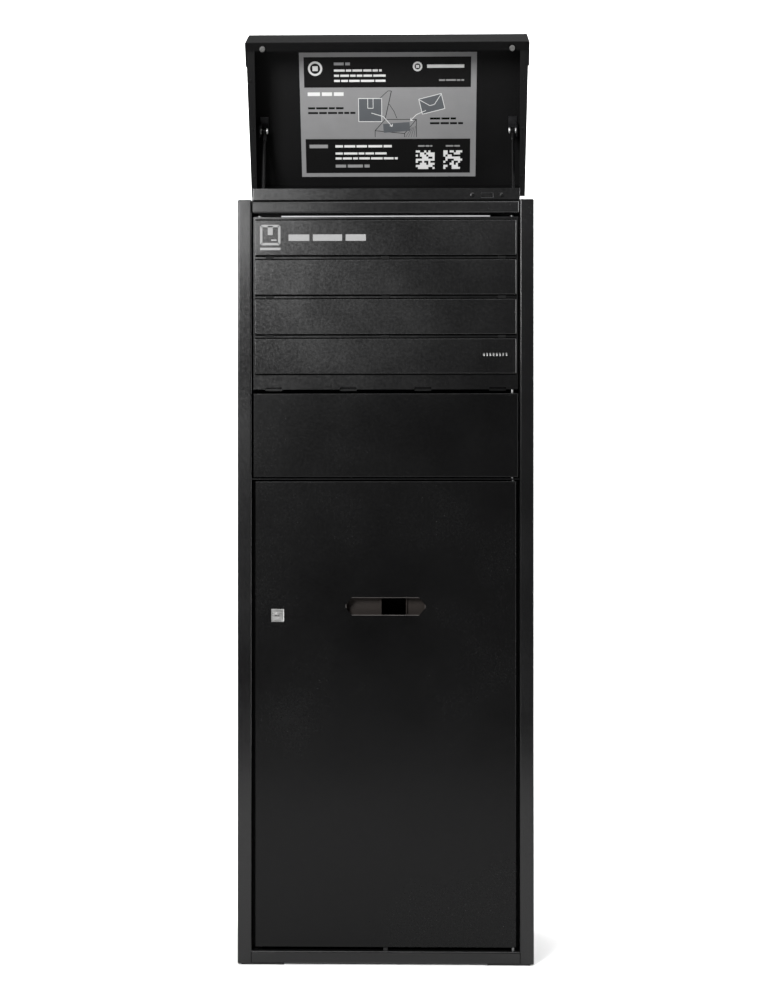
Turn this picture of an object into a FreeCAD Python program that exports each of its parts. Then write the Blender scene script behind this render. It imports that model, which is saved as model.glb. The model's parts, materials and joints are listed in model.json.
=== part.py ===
"""Free-standing parcel locker with a lift-up lid, a letter compartment and a parcel compartment.

Axes: +X to the viewer's right, +Y to the rear, +Z up. The origin lies on the floor at the centre
of the base. Every depth d below is measured back from the front plane of the cabinet.
Lengths are in millimetres.
"""
import FreeCAD, Part
import math
import os

V = FreeCAD.Vector

# ---- cabinet ---------------------------------------------------------------------------------
WIDTH = 460.0            # over the side casings
DEPTH = 260.0            # front plane to the rear of the casings
HEIGHT = 1188.0          # floor to the top of the side casings
SHEET = 1.5              # casing, doors, rails and lid
LINER_SHEET = 1.2        # inner walls of the parcel shaft
BASE_SHEET = 2.0         # base tray
BEND = 1.0               # inner radius of a folded corner
PILLAR = 22.0            # width of a casing's front return
JAMB = 22.0              # how far the return runs back beside a door
REAR_RETURN = 20.0       # width of a casing's rear return
TOP_FLANGE = 14.0        # inward flange along a casing's top
TOP_EDGE = 2.0           # rounding along a casing's top, less than the outer radius of a fold
LINER_INSET = 8.0        # inner wall inboard of the jamb face
LINER_START = 30.0       # front face of the inner walls' front flange
LINER_FLANGE = 26.0      # width of the inner walls' front and rear flanges
TOP_REACH = 10.0         # what is left of those flanges above the casings
BACK_RISE = 48.0         # rear wall above the casings, between the hinges
FIT = 0.3                # clearance of a piece fitted between two others

# ---- stack of the front, from the floor and from the top -------------------------------------
PAD = 2.0                # foot pads
BASE_RAIL = 19.4         # height of the rail under the parcel door
BASE_LIP = 15.0          # rail's top return
DOOR_GAP_LOW = 6.2       # rail to parcel door
DOOR_GAP_HIGH = 2.6      # parcel door to letter floor
LETTER_GAP_LOW = 2.1     # letter floor to letter door
LETTER_DOOR = 130.0      # height of the letter door
LETTER_GAP_HIGH = 6.4    # letter door to slatted fascia
FASCIA = 268.0           # height of the fascia plate
FASCIA_GAP = 5.5         # fascia to header rail
HEADER = 18.0            # header rail height
HEADER_DROP = 3.5        # header rail below the casing top
HEADER_FLANGE = 12.0     # header rail's lower return
HEADER_GAP = 1.6         # header rail to each jamb
RIM_SETBACK = 20.0       # front of the rim behind the front plane
RIM_RISE = 20.0          # rim above the casing top
RIM_INSET = 20.5         # rim's end face inboard of the casing's side

# ---- fascia ----------------------------------------------------------------------------------
FASCIA_SETBACK = 4.0     # plate behind the front plane
FASCIA_INSET = 2.5       # plate to each jamb
FASCIA_FLANGE = 8.0      # top and bottom returns
SLATS = 4
SLAT_HEIGHT = 54.0
SLAT_PITCH = 61.3
SLAT_START = 5.6         # first slat below the plate's top edge
SLAT_INSET = 3.0         # slat end inboard of the plate's end
SLAT_SHEET = 1.0
CLIP = (12.0, 1.6, 4.0)  # slat clip, width by depth by height
HOOK = (26.0, 5.0, 2.2)  # hook tab under the plate, width by depth by height
HOOK_NOTCH = (2.0, 3.0)  # notch in the plate over each tab, depth by height
HOOK_INSETS = (147.5, 31.5)  # in from the plate's ends
TRIM = (43.5, 6.0, 2.0)      # edge strip on the top return: in from the plate's ends, depth, height
TRIM_SETBACK = 0.5           # strip behind the plate's face, and tabs behind their notches

# ---- letter bay ------------------------------------------------------------------------------
BAY_DEPTH = 48.0         # front face of the chute partition
PARTITION_HEM = 10.0

# ---- doors -----------------------------------------------------------------------------------
DOOR_SIDE_GAP = 5.7      # parcel door to each jamb
LETTER_SIDE_GAP = 2.5    # letter door to each jamb
DOOR_DEPTH = 18.0        # depth of a door pan
DOOR_LIP = 12.0          # lip turned in round a door pan's rear
DOOR_EDGE = 1.6          # radius round a door's face
PIN_RADIUS = 2.5
PIN_PLAY = 0.06          # radial clearance of a hinge pin
PIN_REACH = 18.0         # length of a door pin
DOOR_PIN = (4.5, 7.0)    # parcel door pin, in from the door's edge and back from its face
LETTER_PIN = (8.7, 6.0)
GASKET = (10.0, 3.0)     # seal on the parcel door's lips, width by thickness
STIFFENER = (30.0, 11.5, 12.0, 1.2)  # crown width, rise, foot width, sheet
STIFFENER_MARGIN = 34.0  # from the door's top and bottom
STIFFENER_GAP = 15.0     # grip pocket to a stiffener's foot
STOP = (4.0, 5.2)        # rubber stop under the parcel door, radius by height

# ---- grip slot -------------------------------------------------------------------------------
GRIP_DROP = 194.2        # slot's centre below the parcel door's top
GRIP = (123.7, 28.4)     # slot length by height
GRIP_CHAMFER = (10.0, 12.0)
CUP = (136.0, 40.0, 17.0, 1.6)  # pocket behind the slot: length, height, depth, wall
CUP_RIBS = (-8.2, 31.6)
CUP_RIB_DEPTH = 6.0
CUP_WINDOW_MARGIN = 3.2  # window's edge from the cup's top and bottom

# ---- key lock --------------------------------------------------------------------------------
LOCK_DROP = 208.2        # lock's centre below the parcel door's top
LOCK_INSET = 34.7        # in from the parcel door's left edge
ESCUTCHEON = (20.0, 2.6)  # square by thickness
BARREL_RADIUS = 7.0
BARREL_TO_CAM = 2.0      # barrel's rear end to the cam
BARREL_FLANGE = (1.2, 1.0)  # beyond the barrel, by thickness
BARREL_RECESS = 1.4
PLUG_WALL = 1.8          # barrel's wall round the plug
KEYWAY = (7.5, 1.4, 6.0)
NUT = (3.5, 4.0)         # corners beyond the barrel, by thickness
CAM = (14.0, 44.0, 2.5)  # width, reach, thickness
CAM_TIP = 3.0            # corner radius at the cam's tip
CAM_PLAY = 0.1           # radial clearance of the cam's screw
CAM_GAP = 3.0            # door's seal to the cam
CAM_SCREW = (2.9, 5.0, 2.4)  # shank radius, head radius, head height

# ---- electric latches ------------------------------------------------------------------------
LATCH = (18.0, 14.0, 40.0)    # side latch case: reach from the wall, depth, height
LATCH_START = 32.0
LATCH_BOLT = (6.0, 8.0)       # depth by height of a side bolt
LATCH_WALL = 1.5
BOLT_PLAY = 0.3
BOLT_RECESS = 0.6             # bolt tip behind the case's face at rest
KEEPER_GAP = 2.5              # latch case to keeper plate
KEEPER = (1.5, 18.0, 18.0)    # sheet, height, foot width
KEEPER_WINDOW_PLAY = 1.0
LETTER_LATCH_RISE = 43.4      # case above the letter door's lower edge
PARCEL_LATCH_DROP = 125.4  # case's underside below the parcel door's top
LID_LATCH = (52.0, 22.5, 19.0)    # width, depth, height of the case behind the rim
LID_LATCH_INSET = 72.0            # case's centre in from the side
LID_BOLT = (18.0, 17.0, 6.0)
LID_BOLT_RISE = 6.2               # bolt's underside above the casing top
WINDOW_PLAY = 2.0
CONTROL_BOX = (20.0, 90.0, 160.0)  # in the right-hand cavity
BATTERY_BOX = (20.0, 90.0, 130.0)
BOX_START = 60.0
CONTROL_DROP = 190.4      # underside below the parcel door's top
BATTERY_DROP = 340.4

# ---- lid, in its closed place ----------------------------------------------------------------
LID_OPEN = 65.77         # degrees the lid stands open at rest
LID_RISE = 76.5          # closed plate top above the casing top
LID_FRONT = -2.0         # depth of the cap's front face
LID_REAR = 6.0           # plate ends this far in front of the cabinet's rear
LID_SKIRT = 71.5         # plate top to the lips
LID_REAR_SKIRT = 21.5
LID_LIP_FRONT = 14.0     # side lips taper from front to rear
LID_LIP_REAR = 9.0
CAP_SIDE = 39.0          # how far the cap wraps along each side
CAP_TOP = 20.0
CAP_LIP = 14.0
BUFFER = (4.4, 6.4, 10.0, 27.0)  # radius, height, in from the cap's front, in from its side
LABEL = (297.0, 210.0, 0.25)
LABEL_START = 28.9       # from the cap's front face
RIVET = (3.0, 0.9)
RIVET_PLACES = (60.0, 140.0, 220.0)

# ---- lid hinges ------------------------------------------------------------------------------
PIVOT_BEHIND = 14.5      # hinge axis behind the cabinet's rear
PIVOT_RISE = 39.0        # hinge axis above the casing top
HINGE_INSET = 80.0       # hinge's centre in from the side
HINGE_WIDTH = 50.0
HINGE_SHEET = 2.5
KNUCKLE = 6.0            # outer radius
KNUCKLE_MIDDLE = 25.0    # length of the lid's knuckle
KNUCKLE_GAP = 0.4
CABINET_LEAF = (38.0, 18.0)  # height, top below the hinge axis less the knuckle
LID_LEAF = 17.0
HINGE_HEAD = (3.8, 1.6)

# ---- lid stays -------------------------------------------------------------------------------
STAY_MARGIN = 21.0       # mid-plane of each stay in from the cabinet's side
STUD = (101.0, 25.0)     # upper stud, ahead of the plate's rear edge and below the plate top
ANCHOR = (84.5, 167.0)   # lower stud, ahead of the hinge axis and below it
STAY_EYE = (6.0, 8.0)    # rod eye radius and width
TUBE_RADIUS = 5.0
TUBE_LENGTH = 163.0
TUBE_EYE = (7.0, 11.0)
ROD_RADIUS = 3.0
ROD_PLAY = 0.08
ROD_IN_TUBE = 22.0       # rod end below the tube's mouth when extended
TUBE_FLOOR = 34.0        # bottom of the bore from the lower eye
ANCHOR_PLATE = 26.0
ANCHOR_GAP = 0.4         # open pivot: tube eye to the anchor plate
STAY_BRACKET = (14.0, 19.0, 2.0)

# ---- base and fixings ------------------------------------------------------------------------
ANCHOR_HOLE = (5.5, 50.0, 45.0)   # radius, in from the side, in from the front and rear
PAD_SIZE = (66.0, 62.0)           # across, along
PAD_INSETS = (6.0, 1.0)           # in from the casing's side, in from its front or rear
SCREW = (3.2, 1.4)                # button head radius and height
REAR_SCREWS = 6
RIM_SCREW_SPREAD = 23.0

# ---- what follows from the driving sizes -----------------------------------------------------
FRONT = -DEPTH / 2
HALF = WIDTH / 2
JAMB_X = HALF - PILLAR
LINER_X = JAMB_X - LINER_INSET
BACK_FACE = DEPTH - SHEET            # rear wall's outer face, against the casings' returns
BACK_INNER = BACK_FACE - SHEET
RAIL_TOP = PAD + BASE_RAIL
FLOOR_TOP_OF_BASE = PAD + BASE_SHEET
HEADER_TOP = HEIGHT - HEADER_DROP
HEADER_LOW = HEADER_TOP - HEADER
FASCIA_TOP = HEADER_LOW - FASCIA_GAP
FASCIA_LOW = FASCIA_TOP - FASCIA
LETTER_TOP = FASCIA_LOW - LETTER_GAP_HIGH
LETTER_LOW = LETTER_TOP - LETTER_DOOR
SHELF_TOP = LETTER_LOW - LETTER_GAP_LOW
SHELF_LOW = SHELF_TOP - SHEET
DOOR_TOP = SHELF_LOW - DOOR_GAP_HIGH
DOOR_LOW = RAIL_TOP + DOOR_GAP_LOW
DOOR_X = JAMB_X - DOOR_SIDE_GAP
LETTER_X = JAMB_X - LETTER_SIDE_GAP
FASCIA_X = JAMB_X - FASCIA_INSET
RIM_TOP = HEIGHT + RIM_RISE
LINER_TOP = RIM_TOP - 2.0
PIVOT_D = DEPTH + PIVOT_BEHIND
PIVOT_Z = HEIGHT + PIVOT_RISE
LID_TOP = HEIGHT + LID_RISE
LID_LOW = LID_TOP - LID_SKIRT
LID_END = DEPTH - LID_REAR
STAY_X = HALF - STAY_MARGIN
HINGE_PLACE = HALF - HINGE_INSET
LID_LATCH_PLACE = HALF - LID_LATCH_INSET
LOCK_X = -DOOR_X + LOCK_INSET
LOCK_HEIGHT = DOOR_TOP - LOCK_DROP
GRIP_HEIGHT = DOOR_TOP - GRIP_DROP
STIFFENER_PLACE = CUP[0] / 2 + STIFFENER_GAP + STIFFENER[2] + STIFFENER[0] / 2
PLUG_RADIUS = BARREL_RADIUS - PLUG_WALL
CAM_START = DOOR_DEPTH + GASKET[1] + CAM_GAP
BARREL_REAR = CAM_START - BARREL_TO_CAM
PARCEL_LATCH_HEIGHT = DOOR_TOP - PARCEL_LATCH_DROP
CONTROL_HEIGHT = DOOR_TOP - CONTROL_DROP
BATTERY_HEIGHT = DOOR_TOP - BATTERY_DROP


# ---- shapes ----------------------------------------------------------------------------------
def at(x, d, z):
    """Point at x across, d back from the front plane and z up."""
    return V(x, FRONT + d, z)


def block(x, d, z):
    """Box over three (low, high) ranges."""
    return Part.makeBox(x[1] - x[0], d[1] - d[0], z[1] - z[0], at(x[0], d[0], z[0]))


def bar_x(x, d, z, radius):
    """Round bar across the cabinet over the range x."""
    return Part.makeCylinder(radius, x[1] - x[0], at(x[0], d, z), V(1, 0, 0))


def bar_d(x, d, z, radius):
    """Round bar from front to rear over the range d."""
    return Part.makeCylinder(radius, d[1] - d[0], at(x, d[0], z), V(0, 1, 0))


def bar_z(x, d, z, radius):
    """Upright round bar over the range z."""
    return Part.makeCylinder(radius, z[1] - z[0], at(x, d, z[0]), V(0, 0, 1))


def joined(pieces):
    """One solid from overlapping pieces."""
    pieces = list(pieces)
    return pieces[0].fuse(pieces[1:]).removeSplitter()


def group(pieces):
    """Separate solids kept in one node."""
    return Part.makeCompound(list(pieces))


def mirrored(shape):
    """The same shape on the other side of the centre plane."""
    return shape.mirror(V(0, 0, 0), V(1, 0, 0))


def plan(z):
    """Places a profile drawn in (x, d) at height z."""
    return lambda p: at(p.x, p.y, z)


def side(x):
    """Places a profile drawn in (d, z) at x."""
    return lambda p: at(x, p.x, p.y)


def front(d):
    """Places a profile drawn in (x, z) at depth d."""
    return lambda p: at(p.x, d, p.y)


def rounded_face(corners, place):
    """Flat face from (u, v, radius) corners, with an arc at each corner that has a radius."""
    points = [V(u, v, 0) for u, v, _ in corners]
    starts = []
    ends = []
    middles = []
    for i, point in enumerate(points):
        radius = corners[i][2]
        back = (points[i - 1] - point).normalize()
        ahead = (points[(i + 1) % len(points)] - point).normalize()
        if radius == 0:
            starts.append(point)
            ends.append(point)
            middles.append(None)
            continue
        half = back.getAngle(ahead) / 2
        middle = (back + ahead).normalize()
        starts.append(point + back * (radius / math.tan(half)))
        ends.append(point + ahead * (radius / math.tan(half)))
        middles.append(point + middle * (radius / math.sin(half) - radius))
    edges = []
    for i in range(len(points)):
        if middles[i] is not None:
            edges.append(Part.Arc(place(starts[i]), place(middles[i]), place(ends[i])).toShape())
        following = (i + 1) % len(points)
        edges.append(Part.LineSegment(place(ends[i]), place(starts[following])).toShape())
    return Part.Face(Part.Wire(edges))


def left_of(a, b):
    """Unit normal on the left of the direction from a to b."""
    way = (b - a).normalize()
    return V(-way.y, way.x, 0)


def folded(path, sheet, place, sweep):
    """Sheet folded along an open path, with its thickness on the path's left, swept along sweep."""
    points = [V(u, v, 0) for u, v in path]
    last = len(points) - 1
    near = []
    far = []
    for i, point in enumerate(points):
        if i in (0, last):
            normal = left_of(points[0], points[1]) if i == 0 else left_of(points[last - 1], point)
            near.append((point.x, point.y, 0))
            far.append((point.x + normal.x * sheet, point.y + normal.y * sheet, 0))
            continue
        before = left_of(points[i - 1], point)
        after = left_of(point, points[i + 1])
        shift = (before + after) * (sheet / (1 + before.dot(after)))
        turn = before.cross(after).z
        near.append((point.x, point.y, BEND + sheet if turn > 0 else BEND))
        far.append((point.x + shift.x, point.y + shift.y, BEND if turn > 0 else BEND + sheet))
    return rounded_face(near + far[::-1], place).extrude(sweep)


def edges_at_depth(shape, d):
    """Edges of a shape that lie in the plane at depth d."""
    level = FRONT + d
    return [e for e in shape.Edges if all(abs(v.Y - level) < 1e-6 for v in e.Vertexes)]


def pan(half, d, z, sheet, lip, edge):
    """Pan folded from sheet: a face at the front of d, walls going back, lips turned in behind."""
    solid = block((-half, half), d, z)
    solid = solid.makeFillet(edge, edges_at_depth(solid, d[0]))
    inner = half - sheet
    rear = d[1] - sheet if lip else d[1]
    solid = solid.cut(block((-inner, inner), (d[0] + sheet, rear), (z[0] + sheet, z[1] - sheet)))
    if lip:
        mouth = half - lip
        solid = solid.cut(block((-mouth, mouth), (rear, d[1]), (z[0] + lip, z[1] - lip)))
    return solid


def flat_link(start, end, sheet, x):
    """Flat bar between two (d, z) points over the range x."""
    a = V(start[0], start[1], 0)
    b = V(end[0], end[1], 0)
    normal = left_of(a, b) * (sheet / 2)
    corners = [(p.x, p.y, 0) for p in (a + normal, a - normal, b - normal, b + normal)]
    return rounded_face(corners, side(x[0])).extrude(V(x[1] - x[0], 0, 0))


def opened(shape):
    """A lid piece turned from its closed place to the open rest place."""
    return shape.rotated(at(0, PIVOT_D, PIVOT_Z), V(1, 0, 0), -LID_OPEN)


def opened_point(d, z):
    """Where a closed lid's point (d, z) is when the lid stands open."""
    angle = math.radians(LID_OPEN)
    along = d - PIVOT_D
    up = z - PIVOT_Z
    turned_d = PIVOT_D + along * math.cos(angle) + up * math.sin(angle)
    turned_z = PIVOT_Z - along * math.sin(angle) + up * math.cos(angle)
    return turned_d, turned_z


# ---- cabinet pieces --------------------------------------------------------------------------
def side_casing():
    """Right-hand casing: jamb, front pillar, side, rear return and top flange in one fold."""
    path = [(JAMB_X, JAMB), (JAMB_X, 0), (HALF, 0), (HALF, DEPTH), (HALF - REAR_RETURN, DEPTH)]
    wall = folded(path, SHEET, plan(PAD), V(0, 0, HEIGHT - PAD))
    bend = BEND + SHEET
    inner = HALF - TOP_FLANGE
    top = [(JAMB_X, 0, bend), (HALF, 0, bend), (HALF, DEPTH, bend), (HALF - REAR_RETURN, DEPTH, 0),
           (HALF - REAR_RETURN, BACK_FACE, 0), (inner, BACK_FACE, 0), (inner, JAMB, 0), (JAMB_X, JAMB, 0)]
    flange = rounded_face(top, plan(HEIGHT - SHEET)).extrude(V(0, 0, SHEET))
    casing = joined([wall, flange])
    outside = [e for e in casing.Edges if all(abs(v.Z - HEIGHT) < 1e-6 for v in e.Vertexes)
               and all(abs(v.X - HALF) < 1e-6 for v in e.Vertexes)]
    return casing.makeFillet(min(TOP_EDGE, 0.8 * bend), outside)


def back_panel():
    """Rear wall, narrower and taller between the lid hinges."""
    wide = HALF - SHEET - BEND
    narrow = LINER_X + 5.0
    shoulder = HEIGHT - SHEET - FIT
    top = HEIGHT + BACK_RISE
    outline = [(-wide, PAD, 0), (wide, PAD, 0), (wide, shoulder, 0), (narrow, shoulder, 0),
               (narrow, top, 6.0), (-narrow, top, 6.0), (-narrow, shoulder, 0), (-wide, shoulder, 0)]
    return rounded_face(outline, front(BACK_INNER)).extrude(V(0, SHEET, 0))


def base_tray():
    """Floor of the locker with its front rail, rear upstand and four anchor holes."""
    path = [(BASE_LIP, RAIL_TOP), (0, RAIL_TOP), (0, PAD), (BACK_INNER, PAD), (BACK_INNER, RAIL_TOP)]
    tray = folded(path, BASE_SHEET, side(-JAMB_X), V(2 * JAMB_X, 0, 0))
    return tray.cut(group(anchor_holes()))


def anchor_holes():
    """Cutters for the four anchor holes."""
    radius, inboard, along = ANCHOR_HOLE
    across = HALF - inboard
    return [bar_z(x, d, (-1.0, FLOOR_TOP_OF_BASE + 1.0), radius)
            for x in (-across, across) for d in (along, DEPTH - along)]


def foot_pads():
    """Four pads under the corners, drilled with the anchor holes."""
    across, along = PAD_SIZE
    inboard, inset = PAD_INSETS
    outer = HALF - inboard
    pads = []
    for x in ((-outer, across - outer), (outer - across, outer)):
        for d in ((inset, inset + along), (DEPTH - inset - along, DEPTH - inset)):
            pads.append(block(x, d, (0, PAD)).cut(group(anchor_holes())))
    return group(pads)


def liner():
    """Right-hand inner wall of the parcel shaft, with flanges out to the casing."""
    outer = LINER_X + LINER_FLANGE
    path = [(outer, BACK_INNER), (LINER_X, BACK_INNER), (LINER_X, LINER_START), (outer, LINER_START)]
    height = LINER_TOP - FLOOR_TOP_OF_BASE
    wall = folded(path, LINER_SHEET, plan(FLOOR_TOP_OF_BASE), V(0, 0, height))
    below_lid = block((LINER_X + TOP_REACH, HALF), (0, DEPTH), (HEIGHT - SHEET - FIT, LINER_TOP + 1.0))
    over_tray = block((LINER_X - 1.0, HALF), (BACK_INNER - BASE_SHEET - BEND, DEPTH), (0, RAIL_TOP))
    return wall.cut(group([below_lid, over_tray]))


def chute_partition():
    """Wall between the letter bay and the parcel shaft, hemmed at the top."""
    path = [(BAY_DEPTH + PARTITION_HEM, LINER_TOP), (BAY_DEPTH, LINER_TOP), (BAY_DEPTH, SHELF_LOW)]
    return folded(path, SHEET, side(-LINER_X), V(2 * LINER_X, 0, 0))


def letter_floor():
    """Shelf under the letter bay, set between the jambs and against the partition."""
    outline = [(-JAMB_X, 0.5, 0), (JAMB_X, 0.5, 0), (JAMB_X, LINER_START, 0), (LINER_X, LINER_START, 0),
               (LINER_X, BAY_DEPTH, 0), (-LINER_X, BAY_DEPTH, 0), (-LINER_X, LINER_START, 0),
               (-JAMB_X, LINER_START, 0)]
    return rounded_face(outline, plan(SHELF_LOW)).extrude(V(0, 0, SHEET))


def header_rail():
    """Channel across the top of the front."""
    rear = RIM_SETBACK + SHEET
    path = [(rear, HEADER_TOP), (0, HEADER_TOP), (0, HEADER_LOW), (HEADER_FLANGE, HEADER_LOW)]
    half = JAMB_X - HEADER_GAP
    return folded(path, SHEET, side(-half), V(2 * half, 0, 0))


def rim_strip():
    """Upstand behind the header rail, with a window for the lid bolt."""
    half = HALF - RIM_INSET
    path = [(-half, LINER_START), (-half, RIM_SETBACK), (half, RIM_SETBACK), (half, LINER_START)]
    strip = folded(path, SHEET, plan(HEADER_TOP), V(0, 0, RIM_TOP - HEADER_TOP))
    width, _, height = LID_BOLT
    low = HEIGHT + LID_BOLT_RISE
    reach = (width + WINDOW_PLAY) / 2
    window = block((LID_LATCH_PLACE - reach, LID_LATCH_PLACE + reach), (0, LINER_START),
                   (low - WINDOW_PLAY / 2, low + height + WINDOW_PLAY / 2))
    beside = JAMB_X - FIT
    notches = [block((x, x + PILLAR), (0, LINER_START + 1.0), (HEADER_TOP - 1.0, HEIGHT + FIT))
               for x in (beside, -beside - PILLAR)]
    return strip.cut(group([window] + notches))


def fascia_backing():
    """Plate behind the slats, with side flanges back to the inner walls."""
    rear = LINER_START
    inner = FASCIA_X - SHEET
    plate = block((-FASCIA_X, FASCIA_X), (FASCIA_SETBACK, rear), (FASCIA_LOW, FASCIA_TOP))
    hollow = block((-inner, inner), (FASCIA_SETBACK + SHEET, rear),
                   (FASCIA_LOW + SHEET, FASCIA_TOP - SHEET))
    behind = block((-inner, inner), (FASCIA_SETBACK + FASCIA_FLANGE, rear),
                   (FASCIA_LOW - 1.0, FASCIA_TOP + 1.0))
    depth, height = HOOK_NOTCH
    notches = [block((x - HOOK[0] / 2, x + HOOK[0] / 2), (0, FASCIA_SETBACK + depth),
                     (FASCIA_LOW - 1.0, FASCIA_LOW + height)) for x in hook_places()]
    return plate.cut(hollow).cut(behind).cut(group(notches))


def hook_places():
    """Centres of the hook tabs across the cabinet."""
    return [x for inset in HOOK_INSETS for x in (inset - FASCIA_X, FASCIA_X - inset)]


def slat_range(index):
    """Lower and upper edge of a fascia slat, counted from the top."""
    top = FASCIA_TOP - SLAT_START - index * SLAT_PITCH
    return top - SLAT_HEIGHT, top


def fascia_slat(index):
    """Shallow pan fixed to the fascia plate."""
    half = FASCIA_X - SLAT_INSET
    return pan(half, (0, FASCIA_SETBACK), slat_range(index), SLAT_SHEET, 0, SLAT_SHEET * 0.8)


def slat_clips():
    """Small clips in the bands between the slats."""
    width, depth, height = CLIP
    end = FASCIA_X - 25.0
    clips = []
    for index in range(SLATS - 1):
        low, _ = slat_range(index)
        _, next_top = slat_range(index + 1)
        middle = (low + next_top) / 2
        for x in (-end, 0.0, end):
            clips.append(block((x - width / 2, x + width / 2), (FASCIA_SETBACK - depth, FASCIA_SETBACK),
                               (middle - height / 2, middle + height / 2)))
    return group(clips)


def fascia_hooks():
    """Tabs under the fascia plate, above the letter door."""
    width, depth, height = HOOK
    start = FASCIA_SETBACK + HOOK_NOTCH[0] + TRIM_SETBACK
    return group(block((x - width / 2, x + width / 2), (start, start + depth),
                       (FASCIA_LOW - height, FASCIA_LOW)) for x in hook_places())


def edge_strip():
    """Pale strip lying on the fascia plate's top return."""
    inset, depth, height = TRIM
    half = FASCIA_X - inset
    start = FASCIA_SETBACK + TRIM_SETBACK
    return block((-half, half), (start, start + depth), (FASCIA_TOP, FASCIA_TOP + height))


def door_pins():
    """Upright pivot pins of both doors, on the right."""
    door_x = DOOR_X - DOOR_PIN[0]
    letter_x = LETTER_X - LETTER_PIN[0]
    return group([
        bar_z(door_x, DOOR_PIN[1], (RAIL_TOP, RAIL_TOP + PIN_REACH), PIN_RADIUS),
        bar_z(door_x, DOOR_PIN[1], (SHELF_LOW - PIN_REACH, SHELF_LOW), PIN_RADIUS),
        bar_z(letter_x, LETTER_PIN[1], (SHELF_TOP, SHELF_TOP + PIN_REACH), PIN_RADIUS),
        bar_z(letter_x, LETTER_PIN[1], (FASCIA_LOW - PIN_REACH, FASCIA_LOW), PIN_RADIUS),
    ])


def door_stop():
    """Rubber stop on the base rail under the parcel door."""
    radius, height = STOP
    return bar_z(0, DOOR_PIN[1], (RAIL_TOP, RAIL_TOP + height), radius)


# ---- latches and electronics -----------------------------------------------------------------
def side_latch_bolt_box(low, play):
    """Depth and height ranges of a side bolt, grown by play."""
    depth, height = LATCH_BOLT
    middle_d = LATCH_START + LATCH[1] / 2
    middle_z = low + LATCH[2] / 2
    return ((middle_d - depth / 2 - play, middle_d + depth / 2 + play),
            (middle_z - height / 2 - play, middle_z + height / 2 + play))


def side_latch_case(low):
    """Latch case on the left inner wall, hollow for its bolt."""
    reach, depth, height = LATCH
    face = reach - LINER_X
    case = block((-LINER_X, face), (LATCH_START, LATCH_START + depth), (low, low + height))
    d, z = side_latch_bolt_box(low, BOLT_PLAY)
    return case.cut(block((LATCH_WALL - LINER_X, face), d, z))


def side_latch_bolt(low):
    """Bolt of a side latch, withdrawn into its case."""
    d, z = side_latch_bolt_box(low, 0)
    face = LATCH[0] - LINER_X
    return block((LATCH_WALL + BOLT_PLAY - LINER_X, face - BOLT_RECESS), d, z)


def keeper(low):
    """Angle on a door, with a window that the side bolt enters."""
    sheet, height, foot = KEEPER
    middle = low + LATCH[2] / 2
    left = LATCH[0] - LINER_X + KEEPER_GAP
    rear = LATCH_START + LATCH[1]
    z = (middle - height / 2, middle + height / 2)
    path = [(left, rear), (left, SHEET), (left + foot, SHEET)]
    angle = folded(path, sheet, plan(z[0]), V(0, 0, height))
    window_d, window_z = side_latch_bolt_box(low, KEEPER_WINDOW_PLAY)
    return angle.cut(block((left - 1.0, left + sheet + 1.0), window_d, window_z))


def lid_bolt_box(play):
    """Ranges of the lid bolt's section, grown by play."""
    width, _, height = LID_BOLT
    low = HEIGHT + LID_BOLT_RISE
    return ((LID_LATCH_PLACE - width / 2 - play, LID_LATCH_PLACE + width / 2 + play),
            (low - play, low + height + play))


def lid_latch_case():
    """Latch case behind the rim, hollow for the lid bolt."""
    width, depth, height = LID_LATCH
    start = RIM_SETBACK + SHEET
    top = RIM_TOP - 2.0
    case = block((LID_LATCH_PLACE - width / 2, LID_LATCH_PLACE + width / 2), (start, start + depth),
                 (top - height, top))
    x, z = lid_bolt_box(BOLT_PLAY)
    return case.cut(block(x, (start, start + depth - LATCH_WALL), z))


def lid_latch_bolt():
    """Lid bolt, withdrawn into its case."""
    x, z = lid_bolt_box(0)
    start = RIM_SETBACK + SHEET - BOLT_RECESS
    return block(x, (start, start + LID_BOLT[1]), z)


def cavity_box(size, low):
    """Closed box on the outer face of the right inner wall."""
    reach, depth, height = size
    inner = LINER_X + LINER_SHEET
    return block((inner, inner + reach), (BOX_START, BOX_START + depth), (low, low + height))


# ---- lid -------------------------------------------------------------------------------------
def lid_shell():
    """Plate with its front, side and rear skirts and tapered side lips."""
    start = LID_FRONT + SHEET
    tray = block((-HALF, HALF), (start, LID_END), (LID_LOW, LID_TOP))
    inner = HALF - SHEET
    tray = tray.cut(block((-inner, inner), (start + SHEET, LID_END - SHEET),
                          (LID_LOW - 1.0, LID_TOP - SHEET)))
    tray = tray.cut(block((-inner, inner), (LID_END - SHEET - 1.0, LID_END + 1.0),
                          (LID_LOW - 1.0, LID_TOP - LID_REAR_SKIRT)))
    lip = [(HALF - SHEET / 2, start + SHEET / 2, 0), (HALF - SHEET / 2, LID_END, 0),
           (HALF - LID_LIP_REAR, LID_END, 0), (HALF - LID_LIP_FRONT, start + SHEET / 2, 0)]
    right = rounded_face(lip, plan(LID_LOW)).extrude(V(0, 0, SHEET))
    return opened(joined([tray, right, mirrored(right)]))


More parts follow.
